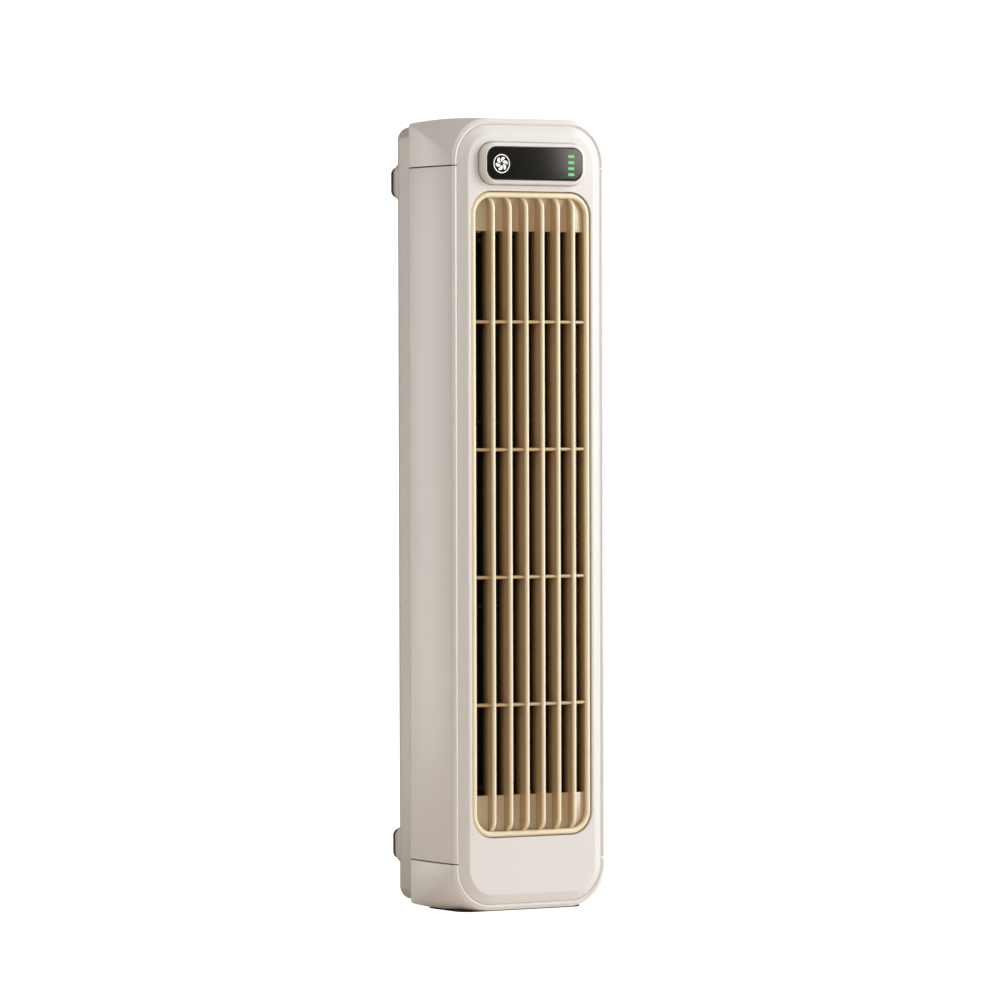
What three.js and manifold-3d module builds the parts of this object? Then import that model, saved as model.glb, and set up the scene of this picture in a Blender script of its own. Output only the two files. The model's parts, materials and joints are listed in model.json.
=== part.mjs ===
// Compact tower fan: a slim case with a cross-flow impeller behind a finned outlet.
// Millimetres. X runs across the front, -Y faces the user, +Z is up, the foot stands on z = 0.
import * as THREE from 'three';
import { mergeVertices } from 'three/addons/utils/BufferGeometryUtils.js';
import Module from 'manifold-3d';

const wasm = await Module();
wasm.setup();

// ---------------------------------------------------------------- driving dimensions

const FIT_GAP = 0.3;             // clearance between neighbouring pieces
const JOIN = 0.4;                // how far a feature reaches into the body it is moulded on
const OVERCUT = 1;               // how far a cutting tool reaches past the face it opens
const EDGE_ROUND = 0.25;         // small round on moulded edges
const CORNER_STEPS = 6;          // facets in each quarter turn of an outline
const ROUND_SIDES = 16;          // facets round bosses and pads
const STEM_SIDES = 14;           // facets round posts, shafts and bearings
const BORE_SIDES = 10;           // facets round screws and their bores

// Case
const HEIGHT = 330;
const WIDTH = 75;
const BAND_DEPTH = 37.5;          // front lip to rear edge of the side band
const REAR_DEPTH = 13;           // rear edge of the side band to the flat of the back
const WALL = 2;
const SIDE_DRAW = 1.4;           // how far the band narrows towards its rear edge
const TOP_DRAW = 1.6;            // how far it lowers there
const WIDEST_AT = 0.35;          // share of the band's depth where it is widest
const FRONT_CORNER = 18;
const BAND_REAR_CORNER = 1;
const BAND_STATIONS = 4;         // rows of facets from lip to rear edge
const BAND_EDGE = 0.5;           // chamfer of the rear edge
const BAND_INNER_CORNER = 6;     // inner corners at the rear edge
const BAND_INNER_BEND = 10;      // inner corners where they begin to tighten
const BAND_BEND_AT = 24;         // how far behind the lip that is
const END_CAP_HEIGHT = 20.2;
const SEAM = 0.5;
const FOOT_PROUD = 0.3;

// Lip, groove and sloping rim round the front panel
const LIP_ROUND = 1.1;
const LIP_WIDTH = 3;
const GROOVE_DEPTH = 0.8;
const LIP_HEEL = 3;              // straight inner side of the lip, behind the groove
const SLOPE_WIDTH = 3.2;
const PANEL_PROUD = 1.9;         // front panel beyond the lip
const PANEL_EDGE = 0.4;          // small round between slope and panel
const COVER_SKIRT = 4.2;         // depth of the cover's skirt behind the groove
const COVER_HEEL = 0.5;          // inner corner of the cover, behind the groove

// Outlet grille
const OUTLET_SIDE_MARGIN = 1.35; // panel's edge to the outlet
const OUTLET_END_MARGIN = 30.43; // case's ends to the outlet
const OUTLET_CORNER = 10;
const GRILLE_DEPTH = 7;
const GRILLE_BORDER = 2.65;
const GRILLE_FLANGE = 1;
const GRILLE_FLANGE_THICKNESS = 1.5;
const FIN_COUNT = 6;
const FIN_THICKNESS = 2;
const FIN_TAIL = 1.3;            // thickness at the rear edge
const FIN_PROUD = 3.4;           // middle of the fins' bowed front ahead of the bead
const FIN_BOW_RADIUS = 190;      // bow of the fins' front across the outlet
const FIN_END_RADIUS = 5;
const RIB_COUNT = 4;
const RIB_PITCH = 53;
const RIB_THICKNESS = 1.4;
const RIB_SETBACK = 0.9;         // ribs behind the fins' front
const RIB_TAIL_GAP = 0.5;        // ribs to the grille's rear face
const BLANK_HEIGHT = 14.3;       // closed ends of the grille, between its fins
const BLANK_SETBACK = 1.2;       // bead's front to the closed ends
const BLANK_THICKNESS = 1.5;
const GRILLE_RISE = 0.5;         // middle of ribs and open part above the case's middle

// Display
const DISPLAY_SIDE_MARGIN = 6.4; // panel's edge to the rim
const DISPLAY_TOP_MARGIN = 4.15; // rim to the panel's top edge
const DISPLAY_GAP = 3.45;        // outlet to the rim
const DISPLAY_CORNER = 5.5;
const BEZEL_PROUD = 3.1;
const BEZEL_SKIRT = 0.9;         // how far the bezel spreads at its foot
const RIM_WIDTH = 0.9;
const LEDGE_WIDTH = 1;
const WINDOW_THICKNESS = 1.5;
const WINDOW_SETBACK = 0.15;
const BOARD_STANDOFF = 6;        // window to control board
const BOARD_THICKNESS = 1.6;
const BOARD_LAP = 1;             // control board beyond the rim
const LAMP_COUNT = 4;
const LAMP_PITCH = 2.5;
const LAMP_MARGIN = 6.45;        // rim's right end to the lamps
const LAMP_DROP = 0.5;           // display's middle to theirs
const LAMP_WIDTH = 3.3;
const LAMP_HEIGHT = 1.5;
const PRONG_INSET = 0.2;         // light guide's prongs inside the printed windows
const LED_WIDTH = 1.6;
const LED_HEIGHT = 1;
const LED_THICKNESS = 0.8;
const GUIDE_BACK = 1.2;
const KEY_MARGIN = 7.7;          // rim's left end to the touch key
const SPRING_RADIUS = 2.4;
const SPRING_WIRE = 0.3;
const WIRE_SIDES = 6;
const SPRING_TURNS = 3;
const SPRING_FACETS = 7;         // straight runs in each turn

// Air path
const DUCT_LAP = 17.15;          // how far the partitions stand inside the outlet's ends
const PLATE_THICKNESS = 2;
const PLATE_CORNER = 2;
const IMPELLER_CLEARANCE = 4.15; // impeller to the grille and to the back
const IMPELLER_OFFSET = -5;      // impeller axis, left of the middle
const IMPELLER_END_GAP = 2;
const BLADE_COUNT = 16;
const BLADE_DEPTH = 5.6;
const BLADE_THICKNESS = 0.9;
const BLADE_EDGE = 0.55;         // share of it left at the edges
const BLADE_STEPS = 3;
const BLADE_BELLY = 2;           // how deep the curve's control point lies under the tip
const BLADE_SWEEP = 24;          // degrees between a blade's tip and root
const RING_COUNT = 2;
const RING_THICKNESS = 1.2;
const DISC_THICKNESS = 2;
const RING_LAND = 0.4;           // ring material beyond the blades
const WHEEL_SIDES = 24;
const GUIDE_CLEARANCE = 2;       // impeller to the tightest part of the rear guide
const GUIDE_OPENING = 10;        // how much wider the spiral is at its end
const GUIDE_START = 75;
const GUIDE_END = -38;
const GUIDE_THICKNESS = 1.5;
const GUIDE_STEPS = 12;
const TONGUE_ANGLE = 205;
const TONGUE_RISE = 9;
const TONGUE_BEND = 2;           // how far its curves bulge
const TONGUE_STEPS = 5;

// Impeller bearings and drive
const SHAFT_RADIUS = 2;
const SHAFT_INSERT = 6;
const HUB_RADIUS = 5;
const BUSH_RADIUS = 4;
const BUSH_LENGTH = 6;
const CUSHION_RADIUS = 6.4;
const BOSS_WALL = 2;
const BOSS_LID = 1.5;
const HUB_WALL = 1.5;
const HUB_LID = 2;
const MOTOR_DIAMETER = 32;
const MOTOR_CLEARANCE = 8.7;     // charging socket to the motor above it
const MOTOR_SHOULDER = 2;
const MOTOR_SIDES = 20;
const MOTOR_BOSS_RADIUS = 5;
const MOTOR_BOSS_HEIGHT = 2.4;
const MOTOR_SHAFT_RADIUS = 1.5;
const DAMPER_THICKNESS = 1.5;
const DAMPER_WIDTH = 3;
const COUPLING_RADIUS = 5;
const COUPLING_LENGTH = 6;
const MOTOR_SCREW_SPREAD = 11;
const MOTOR_SCREW_RADIUS = 1;
const MOTOR_SCREW_DEPTH = 3.5;
const MOTOR_SCREW_HEAD = 0.8;

// Rear cover
const REAR_STEP = 0.5;           // rear cover inside the band's sides
const REAR_STEP_TOP = 0.9;
const REAR_CORNER = 5.5;
const REAR_FILLET = 4.5;
const LEAST_CORNER = 1;          // tightest corner of its inner outlines
const SLOT_COLUMNS = 8;
const SLOT_ROWS = 4;
const SLOT_WIDTH = 3.8;
const SLOT_SIDE_MARGIN = 11.3;   // cover's sides to the slots
const SLOT_END_MARGIN = 7.5;     // duct's ends to the slots
const SLOT_ROW_GAP = 5;

// Rear pads, screws and posts
const PAD_SIDE_MARGIN = 9.1;     // cover's sides to the pads' centres
const PAD_END_MARGIN = 22.95;    // cover's ends to them
const PAD_FOOT_HALF = 8.75;      // half the side of a boss at its foot
const PAD_FOOT_CORNER = 4.5;
const PAD_HALF = 6.5;            // half the side of a pad
const PAD_CORNER = 3.2;
const PAD_BOSS_HEIGHT = 5.2;
const PAD_THICKNESS = 2;
const PAD_PLUG_LENGTH = 1.8;
const PAD_EDGE = 0.5;
const POST_RADIUS = 3;
const SCREW_RADIUS = 1.4;
const SCREW_LENGTH = 12;
const SCREW_HEAD_RADIUS = 2.8;
const SCREW_HEAD_HEIGHT = 1.8;

// Power
const BATTERY_SIDE_GAP = 2;      // screw posts to the battery
const BATTERY_HEADROOM = 7.8;
const BATTERY_THICKNESS = 10.5;
const BATTERY_EDGE = 1;
const BATTERY_CORNER = 2;
const SOCKET_HEIGHT = 13;        // centre of the charging socket above the ground
const SOCKET_WIDTH = 8.9;
const SOCKET_THICKNESS = 3.2;
const SOCKET_DEPTH = 7.3;
const SOCKET_WALL = 0.35;
const SOCKET_CORNER_STEPS = 3;
const INSERT_DEPTH = 2;          // block at the bottom of the socket
const TONGUE_MARGIN = 0.8;       // socket's mouth and its block's sides to the contact tongue
const TONGUE_THICKNESS = 0.7;
const POWER_BOARD_WIDTH = 22;
const POWER_BOARD_DEPTH = 28.7;
const STANDOFF_RADIUS = 2;
const STANDOFF_MARGIN = 3;       // board's sides to the standoffs
const STANDOFF_SETBACK = 13;     // board's front edge to the standoffs

// Foot
const BASE_PAD_SIDE_MARGIN = 7.5;
const BASE_PAD_FRONT_MARGIN = 5.5;
const BASE_PAD_REAR_MARGIN = 0.7;
const BASE_PAD_CORNER = 6;
const BASE_PAD_THICKNESS = 1;

// ---------------------------------------------------------------- places worked out from them

const bezelLead = BEZEL_PROUD + PANEL_PROUD;
const padProud = PAD_BOSS_HEIGHT + FIT_GAP + PAD_THICKNESS;
const totalDepth = bezelLead + BAND_DEPTH + REAR_DEPTH + padProud;

const lipY = bezelLead - totalDepth / 2;
const panelY = lipY - PANEL_PROUD;
const bezelY = panelY - BEZEL_PROUD;
const bandRearY = lipY + BAND_DEPTH;
const backY = bandRearY + REAR_DEPTH;
const backInnerY = backY - WALL;

const caseMidZ = (HEIGHT + FOOT_PROUD) / 2;
const caseHalfHeight = (HEIGHT - FOOT_PROUD) / 2;
const frontInset = LIP_WIDTH + FIT_GAP;
const panelInset = frontInset + SLOPE_WIDTH;

const shareAt = y => (y - lipY) / BAND_DEPTH;
const drawAt = y => ((shareAt(y) - WIDEST_AT) / (1 - WIDEST_AT)) ** 2;
const halfWidthAt = y => WIDTH / 2 - SIDE_DRAW * drawAt(y);
const halfHeightAt = y => caseHalfHeight - TOP_DRAW * drawAt(y);
const cornerAt = y => THREE.MathUtils.lerp(FRONT_CORNER, BAND_REAR_CORNER, shareAt(y));

const frontHalfWidth = halfWidthAt(lipY);
const frontHalfHeight = halfHeightAt(lipY);
const rearHalfWidth = halfWidthAt(bandRearY) - REAR_STEP;
const rearHalfHeight = halfHeightAt(bandRearY) - REAR_STEP_TOP;
const panelHalfWidth = frontHalfWidth - panelInset;
const panelTopZ = caseMidZ + frontHalfHeight - panelInset;

const outletHalfWidth = panelHalfWidth - OUTLET_SIDE_MARGIN;
const outletHalfHeight = caseHalfHeight - OUTLET_END_MARGIN;
const outletTopZ = caseMidZ + outletHalfHeight;
const outletBottomZ = caseMidZ - outletHalfHeight;
const grilleY = panelY + FIT_GAP;
const grilleBackY = grilleY + GRILLE_DEPTH;

const displayTopZ = panelTopZ - DISPLAY_TOP_MARGIN;
const displayBottomZ = outletTopZ + DISPLAY_GAP;
const displayZ = (displayTopZ + displayBottomZ) / 2;
const displayHalfHeight = (displayTopZ - displayBottomZ) / 2;
const displayHalfWidth = panelHalfWidth - DISPLAY_SIDE_MARGIN;
const lampX = displayHalfWidth - LAMP_MARGIN;
const keyX = KEY_MARGIN - displayHalfWidth;
const windowY = bezelY + WINDOW_SETBACK;
const windowBackY = windowY + WINDOW_THICKNESS;
const boardY = windowBackY + BOARD_STANDOFF;

const ductTopZ = outletTopZ - DUCT_LAP;
const ductBottomZ = outletBottomZ + DUCT_LAP;
const impellerY = (grilleBackY + backInnerY) / 2;
const impellerRadius = impellerY - grilleBackY - IMPELLER_CLEARANCE;
const impellerTopZ = ductTopZ - IMPELLER_END_GAP;
const impellerBottomZ = ductBottomZ + IMPELLER_END_GAP;

// ---------------------------------------------------------------- shape helpers

const radians = THREE.MathUtils.degToRad;

// Corner-rounded rectangle as points, counter-clockwise, centred on the origin.
function roundedRect(halfWidth, halfHeight, radius, steps = CORNER_STEPS) {
  const points = [];
  const corners = [[1, -1, -90], [1, 1, 0], [-1, 1, 90], [-1, -1, 180]];
  for (const [sideX, sideY, startAngle] of corners) {
    for (let i = 0; i <= steps; i++) {
      const angle = radians(startAngle + 90 * i / steps);
      points.push(new THREE.Vector2(
        sideX * (halfWidth - radius) + radius * Math.cos(angle),
        sideY * (halfHeight - radius) + radius * Math.sin(angle)));
    }
  }
  return points;
}

// The same outline standing upright in space at depth y, around height z.
function uprightRing(halfWidth, halfHeight, radius, y, x = 0, z = caseMidZ) {
  return roundedRect(halfWidth, halfHeight, radius)
    .map(point => new THREE.Vector3(x + point.x, y, z + point.y));
}

// Skin over a row of equal rings. An open row is capped at both ends, a closed one joins up.
function loft(rings, closed = false) {
  const count = rings[0].length;
  const positions = rings.flat();
  const index = [];
  const links = closed ? rings.length : rings.length - 1;
  for (let r = 0; r < links; r++) {
    const here = r * count;
    const next = ((r + 1) % rings.length) * count;
    for (let i = 0; i < count; i++) {
      const j = (i + 1) % count;
      index.push(here + i, here + j, next + j, here + i, next + j, next + i);
    }
  }
  if (!closed) {
    const last = (rings.length - 1) * count;
    for (let i = 1; i < count - 1; i++) {
      index.push(0, i + 1, i, last, last + i, last + i + 1);
    }
  }
  const geometry = new THREE.BufferGeometry().setFromPoints(positions);
  geometry.setIndex(index);
  return facingOut(geometry);
}

// Turns every face over when the skin was wound inside out.
function facingOut(geometry) {
  const position = geometry.getAttribute('position');
  const index = geometry.index.array;
  const a = new THREE.Vector3();
  const b = new THREE.Vector3();
  const c = new THREE.Vector3();
  let volume = 0;
  for (let i = 0; i < index.length; i += 3) {
    a.fromBufferAttribute(position, index[i]);
    b.fromBufferAttribute(position, index[i + 1]);
    c.fromBufferAttribute(position, index[i + 2]);
    volume += a.dot(b.cross(c));
  }
  if (volume < 0) {
    geometry.setIndex([...index].reverse());
  }
  return geometry;
}

// Prism of an XY outline between two heights.
function prismZ(shape, fromZ, toZ) {
  const geometry = new THREE.ExtrudeGeometry(shape, { depth: toZ - fromZ, bevelEnabled: false });
  return geometry.translate(0, 0, fromZ);
}

// Prism of an XZ outline between two depths.
function prismY(shape, fromY, toY) {
  const geometry = new THREE.ExtrudeGeometry(shape, { depth: toY - fromY, bevelEnabled: false });
  return geometry.rotateX(Math.PI / 2).translate(0, toY, 0);
}

// Prism of a YZ outline between two widths.
function prismX(shape, fromX, toX) {
  const geometry = new THREE.ExtrudeGeometry(shape, { depth: toX - fromX, bevelEnabled: false });
  const basis = new THREE.Matrix4().makeBasis(
    new THREE.Vector3(0, 1, 0), new THREE.Vector3(0, 0, 1), new THREE.Vector3(1, 0, 0));
  return geometry.applyMatrix4(basis).translate(fromX, 0, 0);
}

function box(fromX, toX, fromY, toY, fromZ, toZ) {
  return new THREE.BoxGeometry(toX - fromX, toY - fromY, toZ - fromZ)
    .translate((fromX + toX) / 2, (fromY + toY) / 2, (fromZ + toZ) / 2);
}

// Turned piece: [radius, height] points spun round a vertical axis.
function turnedZ(profile, x, y, sides = ROUND_SIDES) {
  const points = profile.map(([radius, height]) => new THREE.Vector2(radius, height));
  return new THREE.LatheGeometry(points, sides).rotateX(Math.PI / 2).translate(x, y, 0);
}

// The same round an axis that runs from front to back.
function turnedY(profile, x, z, sides = ROUND_SIDES) {
  const points = profile.map(([radius, depth]) => new THREE.Vector2(radius, depth));
  return new THREE.LatheGeometry(points, sides).translate(x, 0, z);
}

function rodZ(radius, x, y, fromZ, toZ, sides) {
  return turnedZ([[0, fromZ], [radius, fromZ], [radius, toZ], [0, toZ]], x, y, sides);
}

function rodY(radius, x, z, fromY, toY, sides) {
  return turnedY([[0, fromY], [radius, fromY], [radius, toY], [0, toY]], x, z, sides);
}

function tubeZ(outer, inner, x, y, fromZ, toZ, sides) {
  const profile = [[inner, fromZ], [outer, fromZ], [outer, toZ], [inner, toZ], [inner, fromZ]];
  return turnedZ(profile, x, y, sides);
}

// Slot with round ends, standing upright.
function slotShape(halfWidth, halfHeight, x, z) {
  const slot = new THREE.Shape();
  slot.absarc(x, z + halfHeight - halfWidth, halfWidth, 0, Math.PI);
  slot.absarc(x, z - halfHeight + halfWidth, halfWidth, Math.PI, 2 * Math.PI);
  return new THREE.Shape(slot.getPoints(2));
}

const rectangle = (halfWidth, halfHeight, radius, x = 0, z = 0, steps = CORNER_STEPS) =>
  new THREE.Shape(roundedRect(halfWidth, halfHeight, radius, steps)
    .map(point => new THREE.Vector2(x + point.x, z + point.y)));

// ---------------------------------------------------------------- cutting and joining

function toSolid(geometry) {
  const bare = geometry.clone();
  bare.deleteAttribute('normal');
  bare.deleteAttribute('uv');
  const merged = mergeVertices(bare, 1e-4);
  return new wasm.Manifold(new wasm.Mesh({
    numProp: 3,
    vertProperties: Float32Array.from(merged.getAttribute('position').array),
    triVerts: Uint32Array.from(merged.index.array),
  }));
}

function toGeometry(solid) {
  const mesh = solid.getMesh();
  const geometry = new THREE.BufferGeometry();
  geometry.setAttribute('position', new THREE.BufferAttribute(mesh.vertProperties, 3));
  geometry.setIndex(new THREE.BufferAttribute(mesh.triVerts, 1));
  return geometry;
}

const join = (...pieces) => toGeometry(pieces.map(toSolid).reduce((whole, piece) => whole.add(piece)));

function cut(body, ...tools) {
  return toGeometry(tools.map(toSolid).reduce((rest, tool) => rest.subtract(tool), toSolid(body)));
}

const common = (first, second) => toGeometry(toSolid(first).intersect(toSolid(second)));

// ---------------------------------------------------------------- outlines of the case

function bandRing(inset, y, corner = cornerAt(y) - inset) {
  return uprightRing(halfWidthAt(y) - inset, halfHeightAt(y) - inset, corner, y);
}

function frontRing(inset, y) {
  return uprightRing(frontHalfWidth - inset, frontHalfHeight - inset, FRONT_CORNER - inset, y);
}

function rearRing(inset, y) {
  const corner = Math.max(REAR_CORNER - inset, LEAST_CORNER);
  return uprightRing(rearHalfWidth - inset, rearHalfHeight - inset, corner, y);
}

// ---------------------------------------------------------------- side band: caps and side panels

const seamTopZ = HEIGHT - END_CAP_HEIGHT;
const seamBottomZ = FOOT_PROUD + END_CAP_HEIGHT;

// The whole band round the case: a convex skin whose round front corners tighten towards the
// rear, with a rounded lip that falls away into the groove round the front panel.
function sideBand() {
  const grooveY = lipY + GROOVE_DEPTH;
  const heelY = grooveY + LIP_HEEL;
  const rings = [bandRing(BAND_EDGE, bandRearY), bandRing(0, bandRearY - BAND_EDGE)];
  for (let station = BAND_STATIONS - 1; station > 0; station--) {
    rings.push(bandRing(0, lipY + BAND_DEPTH * station / BAND_STATIONS));
  }
  for (const angle of [0, 30, 60, 90]) {
    const inset = LIP_ROUND * (1 - Math.cos(radians(angle)));
    rings.push(bandRing(inset, lipY + LIP_ROUND * (1 - Math.sin(radians(angle)))));
  }
  rings.push(bandRing(LIP_WIDTH, grooveY));
  rings.push(bandRing(LIP_WIDTH, heelY));
  rings.push(bandRing(WALL, heelY + LIP_WIDTH - WALL));
  rings.push(bandRing(WALL, lipY + BAND_BEND_AT, BAND_INNER_BEND));
  rings.push(bandRing(WALL, bandRearY, BAND_INNER_CORNER));
  return loft(rings, true);
}

const band = sideBand();
const reach = WIDTH;

function topCap() {
  return common(band, box(-reach, reach, -reach, reach, seamTopZ + SEAM / 2, HEIGHT + reach));
}

const standoffX = POWER_BOARD_WIDTH / 2 - STANDOFF_MARGIN;
const powerBoardTopZ = SOCKET_HEIGHT - SOCKET_THICKNESS / 2 - FIT_GAP;
const powerBoardZ = powerBoardTopZ - BOARD_THICKNESS;
const socketBackY = backY - FIT_GAP;
const powerBoardBackY = backInnerY - FIT_GAP;
const powerBoardFrontY = powerBoardBackY - POWER_BOARD_DEPTH;

const basePad = {
  halfWidth: WIDTH / 2 - BASE_PAD_SIDE_MARGIN,
  halfDepth: (BAND_DEPTH - BASE_PAD_FRONT_MARGIN - BASE_PAD_REAR_MARGIN) / 2,
  y: (lipY + BASE_PAD_FRONT_MARGIN + bandRearY - BASE_PAD_REAR_MARGIN) / 2,
};

function bottomCap() {
  const cap = common(band, box(-reach, reach, -reach, reach, -reach, seamBottomZ - SEAM / 2));
  const recessZ = BASE_PAD_THICKNESS + FIT_GAP;
  const recess = prismZ(rectangle(basePad.halfWidth + FIT_GAP, basePad.halfDepth + FIT_GAP,
    BASE_PAD_CORNER, 0, basePad.y), -OVERCUT, recessZ);
  const standoffs = [-1, 1].map(side => rodZ(STANDOFF_RADIUS, side * standoffX,
    powerBoardFrontY + STANDOFF_SETBACK, recessZ + FIT_GAP, powerBoardZ - FIT_GAP, BORE_SIDES));
  return join(cut(cap, recess), ...standoffs);
}

function sidePanel(side) {
  const inner = side < 0 ? -reach : 0;
  const slab = box(inner, inner + reach, -reach, reach, seamBottomZ + SEAM / 2, seamTopZ - SEAM / 2);
  return common(band, slab);
}

// ---------------------------------------------------------------- front cover

const padX = rearHalfWidth - PAD_SIDE_MARGIN;
const padPlaces = [[-1, 1], [1, 1], [-1, -1], [1, -1]]
  .map(([sideX, sideZ]) => [sideX * padX, caseMidZ + sideZ * (rearHalfHeight - PAD_END_MARGIN)]);

const outletShape = rectangle(outletHalfWidth, outletHalfHeight, OUTLET_CORNER, 0, caseMidZ);
const displayShape = rectangle(displayHalfWidth + FIT_GAP, displayHalfHeight + FIT_GAP,
  DISPLAY_CORNER + FIT_GAP, 0, displayZ);

// Tray with a sloping rim; four posts reach back from it to take the housing screws.
function frontCover() {
  const grooveY = lipY + GROOVE_DEPTH;
  const skirtY = grooveY + COVER_SKIRT;
  const innerInset = frontInset + WALL - FIT_GAP;
  const shell = loft([
    frontRing(panelInset, panelY),
    frontRing(panelInset - PANEL_EDGE, panelY + PANEL_EDGE / 2),
    frontRing(frontInset, grooveY),
    frontRing(frontInset, skirtY),
    frontRing(innerInset, skirtY),
    frontRing(innerInset, grooveY + COVER_HEEL),
    frontRing(panelInset, panelY + WALL),
  ]);
  const openings = [outletShape, displayShape]
    .map(shape => prismY(shape, panelY - OVERCUT, panelY + WALL + OVERCUT));
  const posts = padPlaces.map(([x, z]) =>
    rodY(POST_RADIUS, x, z, panelY + WALL - JOIN, backInnerY - FIT_GAP, STEM_SIDES));
  const bores = padPlaces.map(([x, z]) =>
    rodY(SCREW_RADIUS + FIT_GAP, x, z, backY - SCREW_LENGTH - OVERCUT, backY, BORE_SIDES));
  return cut(join(cut(shell, ...openings), ...posts), ...bores);
}

// ---------------------------------------------------------------- outlet grille

// Rounded frame bead with a flange that catches behind the front cover.
function grilleFrame() {
  const ring = (inset, y) => uprightRing(outletHalfWidth - FIT_GAP - inset,
    outletHalfHeight - FIT_GAP - inset, OUTLET_CORNER - FIT_GAP - inset, y);
  const flangeY = panelY + WALL + FIT_GAP;
  const rings = [];
  for (const angle of [0, 45, 90, 135, 180]) {
    const inset = GRILLE_BORDER / 2 * (1 - Math.cos(radians(angle)));
    rings.push(ring(inset, grilleY + GRILLE_BORDER / 2 * (1 - Math.sin(radians(angle)))));
  }
  rings.push(ring(GRILLE_BORDER, grilleBackY));
  rings.push(ring(0, grilleBackY));
  rings.push(ring(0, flangeY + GRILLE_FLANGE_THICKNESS));
  rings.push(ring(-GRILLE_FLANGE, flangeY + GRILLE_FLANGE_THICKNESS));
  rings.push(ring(-GRILLE_FLANGE, flangeY));
  rings.push(ring(0, flangeY));
  return loft(rings, true);
}

const grilleHalfWidth = outletHalfWidth - FIT_GAP - GRILLE_BORDER;
const grilleHalfHeight = outletHalfHeight - FIT_GAP - GRILLE_BORDER;
const finPitch = (2 * grilleHalfWidth + FIN_THICKNESS) / (FIN_COUNT + 1);
const finPlaces = Array.from({ length: FIN_COUNT },
  (_, i) => (i - (FIN_COUNT - 1) / 2) * finPitch);

// The fins' fronts lie on one shallow bow that stands proud of the bead.
const bowY = x => grilleY - FIN_PROUD + x * x / (2 * FIN_BOW_RADIUS);

// One fin: a rounded nose that thins towards the tail, its front corners swept back in arcs.
function fin(x) {
  const nose = FIN_THICKNESS / 2;
  const frontY = bowY(x);
  const section = new THREE.Shape();
  section.moveTo(x + FIN_TAIL / 2, grilleBackY);
  for (const angle of [0, -45, -90, -135, -180]) {
    section.lineTo(x + nose * Math.cos(radians(angle)), frontY + nose * (1 + Math.sin(radians(angle))));
  }
  section.lineTo(x - FIN_TAIL / 2, grilleBackY);
  const halfLength = grilleHalfHeight + JOIN;
  const side = new THREE.Shape();
  side.moveTo(grilleBackY, caseMidZ - halfLength);
  side.lineTo(grilleBackY, caseMidZ + halfLength);
  side.absarc(frontY + FIN_END_RADIUS, caseMidZ + halfLength - FIN_END_RADIUS, FIN_END_RADIUS,
    radians(90), radians(180));
  side.absarc(frontY + FIN_END_RADIUS, caseMidZ - halfLength + FIN_END_RADIUS, FIN_END_RADIUS,
    radians(180), radians(270));
  const outline = new THREE.Shape(side.getPoints(4));
  return common(
    prismZ(section, caseMidZ - halfLength - OVERCUT, caseMidZ + halfLength + OVERCUT),
    prismX(outline, x - FIN_THICKNESS, x + FIN_THICKNESS));
}

// Cross rib whose front follows the fins' bow from one fin to the next, down to the bead.
function crossRib(z) {
  const reach = grilleHalfWidth + JOIN;
  const backY = grilleBackY - RIB_TAIL_GAP;
  const plan = new THREE.Shape([new THREE.Vector2(reach, backY), new THREE.Vector2(-reach, backY),
    new THREE.Vector2(-reach, grilleY + RIB_SETBACK)]);
  for (const x of finPlaces) plan.lineTo(x, bowY(x) + RIB_SETBACK);
  plan.lineTo(reach, grilleY + RIB_SETBACK);
  return prismZ(plan, z - RIB_THICKNESS / 2, z + RIB_THICKNESS / 2);
}

// Closed ends between the fins: a plate behind the bead that is cut away over the open part.
function blankEnds() {
  const openHalfHeight = grilleHalfHeight - BLANK_HEIGHT;
  const openMidZ = caseMidZ + GRILLE_RISE;
  const frontY = grilleY + BLANK_SETBACK;
  const plate = prismY(rectangle(grilleHalfWidth + JOIN, grilleHalfHeight + JOIN,
    OUTLET_CORNER - FIT_GAP - GRILLE_BORDER + JOIN, 0, caseMidZ), frontY, frontY + BLANK_THICKNESS);
  return cut(plate, box(-outletHalfWidth, outletHalfWidth, frontY - OVERCUT,
    frontY + BLANK_THICKNESS + OVERCUT, openMidZ - openHalfHeight, openMidZ + openHalfHeight));
}

function outletGrille() {
  const pieces = [grilleFrame(), blankEnds(), ...finPlaces.map(fin)];
  for (let i = 0; i < RIB_COUNT; i++) {
    pieces.push(crossRib(caseMidZ + GRILLE_RISE + (i - (RIB_COUNT - 1) / 2) * RIB_PITCH));
  }
  return join(...pieces);
}

// ---------------------------------------------------------------- display

function displayRing(inset, y) {
  return uprightRing(displayHalfWidth - inset, displayHalfHeight - inset,
    DISPLAY_CORNER - inset, y, 0, displayZ);
}

// Pill-shaped rim that stands on the panel; its skirt runs back to the control board.
function displayBezel() {
  const footY = panelY - FIT_GAP;
  const skirtInner = RIM_WIDTH + LEDGE_WIDTH;
  const ledgeY = windowBackY + FIT_GAP;
  const slope = [[0, 0], [0.2, 0.45], [0.7, 0.8], [1, 0.95]]; // shares of its width and height
  return loft([
    ...slope.map(([across, up]) =>
      displayRing((across - 1) * BEZEL_SKIRT, THREE.MathUtils.lerp(footY, bezelY, up))),
    displayRing(EDGE_ROUND, bezelY),
    displayRing(RIM_WIDTH - EDGE_ROUND, bezelY),
    displayRing(RIM_WIDTH, bezelY + EDGE_ROUND),
    displayRing(RIM_WIDTH, ledgeY),
    displayRing(skirtInner, ledgeY),
    displayRing(skirtInner, boardY - FIT_GAP),
    displayRing(0, boardY - FIT_GAP),
    displayRing(0, footY),
  ], true);
}

function displayWindow() {
  const inset = RIM_WIDTH + FIT_GAP;
  return loft([
    displayRing(inset + EDGE_ROUND, windowY),
    displayRing(inset, windowY + EDGE_ROUND),
    displayRing(inset, windowBackY),
  ]);
}

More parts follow.
